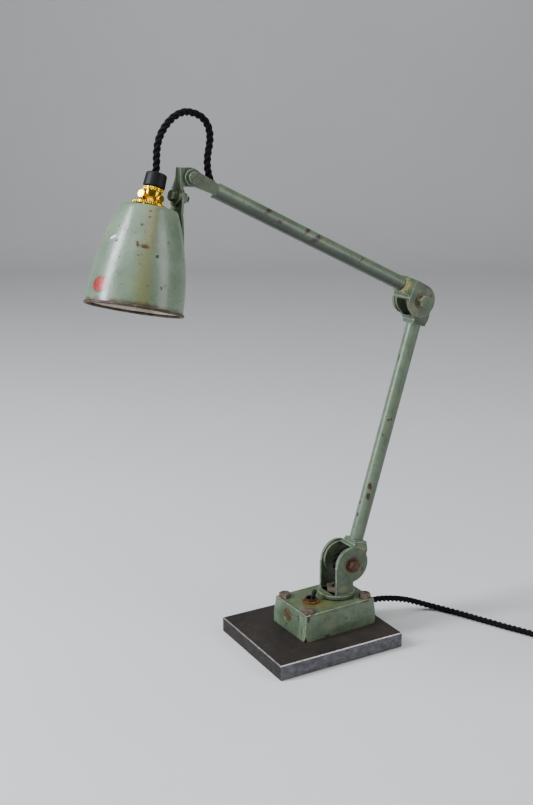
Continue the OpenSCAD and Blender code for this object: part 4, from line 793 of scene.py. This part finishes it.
down = addNode(tree, "Math", "MULTIPLY", {0: u, 1: given.outputs["Length"]})
z = addNode(tree, "Math", "MULTIPLY", {0: down, 1: -1.0})
spot = addNode(tree, "CombineXYZ", None, {0: x, 1: y, 2: z})
moved = addNode(tree, "GeometryNodeSetPosition", None, {"Geometry": grid, "Position": spot})
welded = addNode(tree, "GeometryNodeMergeByDistance", None, {"Geometry": moved, "Distance": 1e-6})
closeTree(tree, welded, given.outputs["Material"])
shell = runTree(meshObject("shellSeed", [(0, 0, 0)], []), shadeTree, {
    "Top radius": shadeLook["topRadius"] * mm, "Middle radius": shadeLook["middleRadius"] * mm,
    "Mouth radius": shadeLook["mouthRadius"] * mm,
    "Length": shadeLook["length"] * mm, "Around": shadeLook["around"] + 1, "Down": shadeLook["down"] + 1,
    "Material": shadeEnamel}, "shadeShell")
b = bmesh.new()
b.from_mesh(shell.data)
# close the top down to the lampholder's hole with a small rounded shoulder
ring = sorted((v for v in b.verts if abs(v.co.z) < 1e-6), key=lambda v: math.atan2(v.co.y, v.co.x))
for v in ring:
    v.co.z -= shadeLook["drops"] * mm
    v.co.x *= 1 + shadeLook["grows"] / shadeLook["topRadius"]
    v.co.y *= 1 + shadeLook["grows"] / shadeLook["topRadius"]
last = ring
for radius, height in (*shadeLook["shoulder"], (shadeLook["hole"], 0)):
    new = []
    for v in last:
        flat = Vector((v.co.x, v.co.y, 0)).normalized() * radius * mm
        new.append(b.verts.new((flat.x, flat.y, height * mm)))
    for k in range(len(last)):
        b.faces.new((last[k], last[(k + 1) % len(last)], new[(k + 1) % len(last)], new[k]))
    last = new
bmesh.ops.recalc_face_normals(b, faces=b.faces)
middles = [(face.normal, face.calc_center_median()) for face in b.faces]
if sum(normal.x * at.x + normal.y * at.y for normal, at in middles) < 0:
    bmesh.ops.reverse_faces(b, faces=b.faces)
for face in b.faces:
    face.material_index = 0
b.to_mesh(shell.data)
b.free()
shell.data.materials.clear()
for material in (shadeEnamel, insideEnamel):
    shell.data.materials.append(material)
thick = shell.modifiers.new("sheet", "SOLIDIFY")
thick.thickness = shadeLook["wall"] * mm
thick.offset = -1
thick.material_offset = 1
applyModifiers(shell)
shell.data.transform(shadeFrame)
smooth(shell, 50)
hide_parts("shade")
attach(shell, "shade")
print("shade made")

# Rolled rim, its bead broken by rust
rimLook = {"ring": 38.4, "height": -79.2, "bead": 1.15, "around": 144, "section": 12}
rimPoints, rimFaces = [], []
for k in range(rimLook["around"]):
    a = 2 * math.pi * k / rimLook["around"]
    for j in range(rimLook["section"]):
        s = 2 * math.pi * j / rimLook["section"]
        bead = rimLook["bead"] * (1 - 0.03 * math.sin(5 * a) - 0.03 * math.sin(11 * a + 1))
        r = (rimLook["ring"] + bead * math.cos(s)) * mm
        height = (rimLook["height"] + bead * math.sin(s)) * mm
        rimPoints.append(shadeFrame @ Vector((r * math.cos(a), r * math.sin(a), height)))
        n, m = rimLook["section"], rimLook["around"]
        rimFaces.append((k * n + j, ((k + 1) % m) * n + j, ((k + 1) % m) * n + (j + 1) % n,
            k * n + (j + 1) % n))
rim = outward(meshObject("rolledRim", rimPoints, rimFaces))
smooth(rim, 60)
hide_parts("shade_rim")
dress(rim, "shade", "rusty_steel", rimRust)

# Hexagon heads with turned tops, on their shanks: one made, and set on its four seats
hexLook = {"acrossFlats": 10, "head": 4.2, "flat": 4.5, "slope": 30, "shankRadius": 3, "shank": 30,
    "turn": 10, "apart": (64, 39.5), "middle": 15, "top": 40}
hexPoints, hexFaces = [], []
hexSteps = 60
for k in range(hexSteps):
    a = 2 * math.pi * k / hexSteps
    reach = hexLook["acrossFlats"] / 2 / math.cos((a % (math.pi / 3)) - math.pi / 6)
    fall = (reach - hexLook["flat"]) * math.tan(math.radians(hexLook["slope"]))
    for r, z in ((hexLook["shankRadius"], -hexLook["shank"]), (hexLook["shankRadius"], 0),
        (reach - 0.15, 0), (reach, 0.15),
                 (reach, hexLook["head"] - fall), (hexLook["flat"], hexLook["head"])):
        hexPoints.append((r * mm * math.cos(a), r * mm * math.sin(a), z * mm))
    hexFaces += [(6 * k + j, 6 * ((k + 1) % hexSteps) + j, 6 * ((k + 1) % hexSteps) + j + 1,
        6 * k + j + 1) for j in range(5)]
hexFaces += [[6 * k for k in range(hexSteps)], [6 * k + 5 for k in range(hexSteps)]]
hexMaster = outward(meshObject("hexMaster", hexPoints, hexFaces))
tree = hexTree = newTree("hexHeads", {
    "Bolt": ("NodeSocketObject", None), "Turn": ("NodeSocketFloat", 0.0),
    "Material": ("NodeSocketMaterial", None)})
given = addNode(tree, "NodeGroupInput")
bolt = addNode(tree, "GeometryNodeObjectInfo", None, {"Object": given.outputs["Bolt"]})
turned = addNode(tree, "CombineXYZ", None, {2: given.outputs["Turn"]})
placed = addNode(tree, "GeometryNodeInstanceOnPoints", None, {
    "Points": given.outputs["Geometry"], "Instance": bolt.outputs["Geometry"], "Rotation": turned})
closeTree(tree, placed, given.outputs["Material"])
hexAt = [((hexLook["middle"] + sx * hexLook["apart"][0] / 2) * mm, sy * hexLook["apart"][1] / 2 * mm,
    hexLook["top"] * mm)
         for sx in (-1, 1) for sy in (-1, 1)]
hexBolts = runTree(meshObject("hexSeats", hexAt, []), hexTree, {
    "Bolt": hexMaster, "Turn": math.radians(hexLook["turn"]), "Material": rustySteel}, "boxBoltHeads")
bpy.data.objects.remove(hexMaster)
smooth(hexBolts, 20)
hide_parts("box_bolts")
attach(hexBolts, "base")
print("box bolts made")

# Fine ribs round the brass ring and flange, for the fingers
tree = ribTree = newTree("fingerRibs", {
    "Radius": ("NodeSocketFloat", 0.008), "Rib": ("NodeSocketFloat", 0.0004),
    "Height": ("NodeSocketFloat", 0.003),
    "Count": ("NodeSocketInt", 40), "Material": ("NodeSocketMaterial", None)})
given = addNode(tree, "NodeGroupInput")
track = addNode(tree, "GeometryNodeMeshCircle", None,
    {"Vertices": given.outputs["Count"], "Radius": given.outputs["Radius"]})
rib = addNode(tree, "GeometryNodeMeshCylinder", None,
    {"Vertices": 8, "Radius": given.outputs["Rib"], "Depth": given.outputs["Height"]})
ribs = addNode(tree, "GeometryNodeInstanceOnPoints", None, {"Points": track, "Instance": rib})
closeTree(tree, ribs, given.outputs["Material"])
ribLook = {
    "ringRibs": {"Radius": 7.85, "Rib": 0.32, "Height": 2.6, "Count": 44, "at": 13.7},
    "flangeRibs": {"Radius": 13.55, "Rib": 0.42, "Height": 1.9, "Count": 60, "at": 1.3},
}
for name, look in ribLook.items():
    ribRing = runTree(meshObject(name + "Seed", [(0, 0, 0)], []), ribTree, {
        "Radius": look["Radius"] * mm, "Rib": look["Rib"] * mm, "Height": look["Height"] * mm,
        "Count": look["Count"],
        "Material": polishedBrass}, name)
    ribRing.data.transform(holderFrame @ Matrix.Translation((0, 0, look["at"] * mm)))
    smooth(ribRing, 50)
    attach(ribRing, "shade")

# Everything whose shape is the CAD's own, with its edges eased
easedLook = [
    # material, its worn edge (paler, partly rubbed paint and partly a painted highlight), and the width of the
    # edge in mm on each CAD node
    (boxEnamel, wornEdgeAndHighlight, {"switch_box": 0.5}),
    (bracketEnamel, wornEdgeAndHighlight, {"yoke": 0.35, "shoulder_fork": 0.32, "elbow_knuckle": 0.32,
    "elbow_fork": 0.32, "head_tongue": 0.25, "head_link": 0.3, "shade_strap": 0.25, "elbow_bolt": 0.3,
    "elbow_nut": 0.25, "elbow_washers": 0.2, "head_screw": 0.25, "head_nut": 0.25, "tilt_bolt": 0.25,
    "tilt_nut": 0.25, "tilt_washers": 0.15, "strap_rivets": 0.2}),
    (tubeEnamel, None, {"lower_tube": 0.25, "upper_tube": 0.25}),
    (brownSteel, None, {"shoulder_bolt": 0.3, "shoulder_washers": 0.2}),
    (rustySteel, None, {"shoulder_nut": 0.25, "swivel_washer": 0.25, "swivel_stud": 0.25}),
    (brownedBrass, None, {"end_plug": 0.3}),
    (dullBrass, None, {"switch_nut": 0.2}),
    (blackMoulding, None, {"switch_lever": 0.3, "flex_gland": 0.3, "cord_grip": 0.35, "plug_body": 0.6}),
    (polishedBrass, None, {"holder_cap": 0.25, "holder_screws": 0.25, "holder_ring": 0.2,
    "holder_body": 0.2, "holder_shade_ring": 0.3, "plug_pins": 0.25}),
    (opalGlass, None, {"bulb_glass": 0.05}),
    (tiePlastic, None, {"coil_tie": 0.2}),
]
ownNames = {"switch_box": "castBox", "yoke": "swivelYoke"}
for material, edgeMaterial, widths in easedLook:
    for node, width in widths.items():
        first, *others = node.split("_")
        name = ownNames.get(node, first + "".join(word.capitalize() for word in others))
        eased(name, node, material, width, edgeMaterial)
print("pieces eased")

# The tube's mouth, closed round the root of the tongue on the near side
mouthLook = {
    "offset": 7.7,
    "end": 233.8,  # mm: the tube's axis from the line of the joints, and its mouth along the arm
    "from": -185, "to": -40, "steps": 36,  # degrees round the axis
    "rootInside": 0.25,  # mm that the tongue's root goes in
    # radius and place from the mouth, along the outside and back along the inside
    "profile": [(6.66, -9.6), (6.66, -1.6), (6.95, -1.3), (7.0, -0.6), (6.85, 0), (3.6, 0), (3.6, -0.9),
    (5.3, -0.9), (5.3, -9.6)],
}
jointAt = {j["name"]: Vector(j["pos_m"]) for j in frame["joints"]}
toHead = jointAt["head_pivot"] - jointAt["elbow"]
alongArm = math.atan2(toHead.z, toHead.x) + math.asin(mouthLook["offset"] * mm / Vector((toHead.x,
    toHead.z)).length)
armFrame = Matrix.Translation((jointAt["elbow"].x, 0,
    jointAt["elbow"].z)) @ Matrix.Rotation(math.pi / 2 - alongArm, 4, "Y")
mouthFrame = armFrame @ Matrix.Translation((mouthLook["offset"] * mm, 0, mouthLook["end"] * mm))
mouthPoints, mouthFaces, rows = [], [], len(mouthLook["profile"])
for k in range(mouthLook["steps"] + 1):
    a = math.radians(mouthLook["from"] + (mouthLook["to"] - mouthLook["from"]) * k / mouthLook["steps"])
    for r, z in mouthLook["profile"]:
        mouthPoints.append(mouthFrame @ Vector((r * mm * math.cos(a), r * mm * math.sin(a), z * mm)))
    if k:
        was, now = (k - 1) * rows, k * rows
        mouthFaces += [(was + j, now + j, now + (j + 1) % rows, was + (j + 1) % rows) for j in range(rows)]
mouthFaces += [list(range(rows)), [mouthLook["steps"] * rows + j for j in range(rows)]]
mouth = outward(meshObject("tubeMouth", mouthPoints, mouthFaces))
smooth(mouth, 35)
dress(mouth, "upper_arm", "aged_green_paint", tubeEnamel)
# the tongue's root stops in the mouth
intoMouth = mouthFrame.inverted()
for v in bpy.data.objects["headTongue"].data.vertices:
    local = intoMouth @ v.co
    local.z = max(local.z, -mouthLook["rootInside"] * mm)
    v.co = mouthFrame @ local

# Plate: mill scale on its faces, the two Y sides ground, and the two X sides in a darker copy of that steel as
# painted shade, bright where they meet
plate = eased("basePlate", "base_plate", millScale, 0.12, None)
for material in (groundSteel, brightEdge, shadedSteelSide):
    plate.data.materials.append(material)
for face in plate.data.polygons:
    flat = abs(face.normal.z)
    # Y sides ground steel, X sides the darker copy as painted shade
    side = 1 if abs(face.normal.y) > abs(face.normal.x) else 3
    face.material_index = 0 if flat > 0.95 else side if flat < 0.2 else 2

# Out of sight, but finished
for node, material in {
    "terminal_block": glazedWhite, "holder_insert": glazedWhite, "switch_body": brownMoulding,
    "swivel_nut": dullBrass,
    "shoulder_bush": rimRust, "elbow_bush": rimRust, "bulb_cap": brightSteel,
    "flex_in_lower_tube": tiePlastic,
    "flex_in_upper_tube": tiePlastic,
}.items():
    for held in frame["nodes"][node].material_slots:
        held.material = material

# Flex inside the joints, in mm: round the bush at each
jointFlexLook = {
    "shoulder": [
        (28, 0, 41.5), (28, 0, 49.5), (28.7, 0, 61.5), (26.4, 0, 71.5),
        (28.9, 0, 80.0), (39.9, 0, 82.5), (46.91, 0.0, 82.81), (48.92, 0.0, 87.43),
    ],
    "elbow": [
        (111.28, 0.0, 295.28), (113.29, 0.0, 301.98), (119.04, 0, 311.64), (118.84, 0, 319.14),
        (113.54, 0, 324.44), (106.04, 0, 325.64), (102.99, 0.0, 326.08), (96.68, 0.0, 329.1),
    ],
}

for name, node, route, ends in (
    ("flexAtShoulder", "flex_at_shoulder", jointFlexLook["shoulder"], ("yoke", "lower_arm")),
    ("flexAtElbow", "flex_at_elbow", jointFlexLook["elbow"], ("lower_arm", "upper_arm")),
):
    made, path, length = twistedFlex(name, [Vector(p) * mm for p in route])
    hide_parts(node)
    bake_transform(made)
print("joint flex made")

# Plain paper, flat under the lamp and curved up behind it, and two tall soft windows
paperLook = {"steps": 24, "behind": 2.3, "bend": 0.8, "across": 7, "up": 4, "before": 5,
    "facing": (0.521, 0.853)}
paper = moulded("plainPaper", {"tones": ("#dcdcda", "#e0e0de"), "cloud": 600, "gloss": (0.75, 0.85),
    "tooth": 2, "toothDepth": 0.02, "ior": 1.45})
back = Vector((*paperLook["facing"], 0))
sideways = Vector((-back.y, back.x, 0))
sweep = [back * -paperLook["before"], back * paperLook["behind"]]
for k in range(1, paperLook["steps"] + 1):
    a = math.pi / 2 * k / paperLook["steps"]
    rise = Vector((0, 0, paperLook["bend"] * (1 - math.cos(a))))
    sweep.append(back * (paperLook["behind"] + paperLook["bend"] * math.sin(a)) + rise)
sweep.append(sweep[-1] + Vector((0, 0, paperLook["up"])))
paperPoints = [p + sideways * s * paperLook["across"] for p in sweep for s in (1, -1)]
paperFaces = [(2 * k, 2 * k + 1, 2 * k + 3, 2 * k + 2) for k in range(len(sweep) - 1)]
backdrop = meshObject("paperSweep", paperPoints, paperFaces)
backdrop.data.materials.append(paper)
smooth(backdrop, 60)

lightLook = {
    # azimuth and height of the light, its distance and size in metres, and its power
    "windowLeft": {"azimuth": 166, "elevation": 30, "away": 1.8, "size": (0.45, 1.5), "power": 60,
    "colour": "#eef3ff"},
    "windowRight": {"azimuth": -52, "elevation": 22, "away": 1.7, "size": (0.7, 1.7), "power": 14,
    "colour": "#f6f8ff"},
    "ceiling": {"azimuth": -120, "elevation": 74, "away": 2.2, "size": (2.0, 2.0), "power": 26,
    "colour": "#ffffff"},
}
roomLook = {"aim": (-0.03, 0, 0.24), "colour": "#b9bcc0", "strength": 0.26}
aim = Vector(roomLook["aim"])
for name, look in lightLook.items():
    data = bpy.data.lights.new(name, "AREA")
    data.shape = "RECTANGLE"
    data.size, data.size_y = look["size"]
    data.energy = look["power"]
    data.color = linearColour(look["colour"])[:3]
    lamp = bpy.data.objects.new(name, data)
    a, e = math.radians(look["azimuth"]), math.radians(look["elevation"])
    toward = Vector((math.cos(a) * math.cos(e), math.sin(a) * math.cos(e), math.sin(e)))
    lamp.location = aim + toward * look["away"]
    lamp.rotation_euler = toward.to_track_quat("Z", "Y").to_euler()
    scene.collection.objects.link(lamp)
world = bpy.data.worlds.new("paleRoom")
scene.world = world
world.use_nodes = True
roomGlow = world.node_tree.nodes["Background"]
roomGlow.inputs["Color"].default_value = linearColour(roomLook["colour"])
roomGlow.inputs["Strength"].default_value = roomLook["strength"]
print("lights placed")
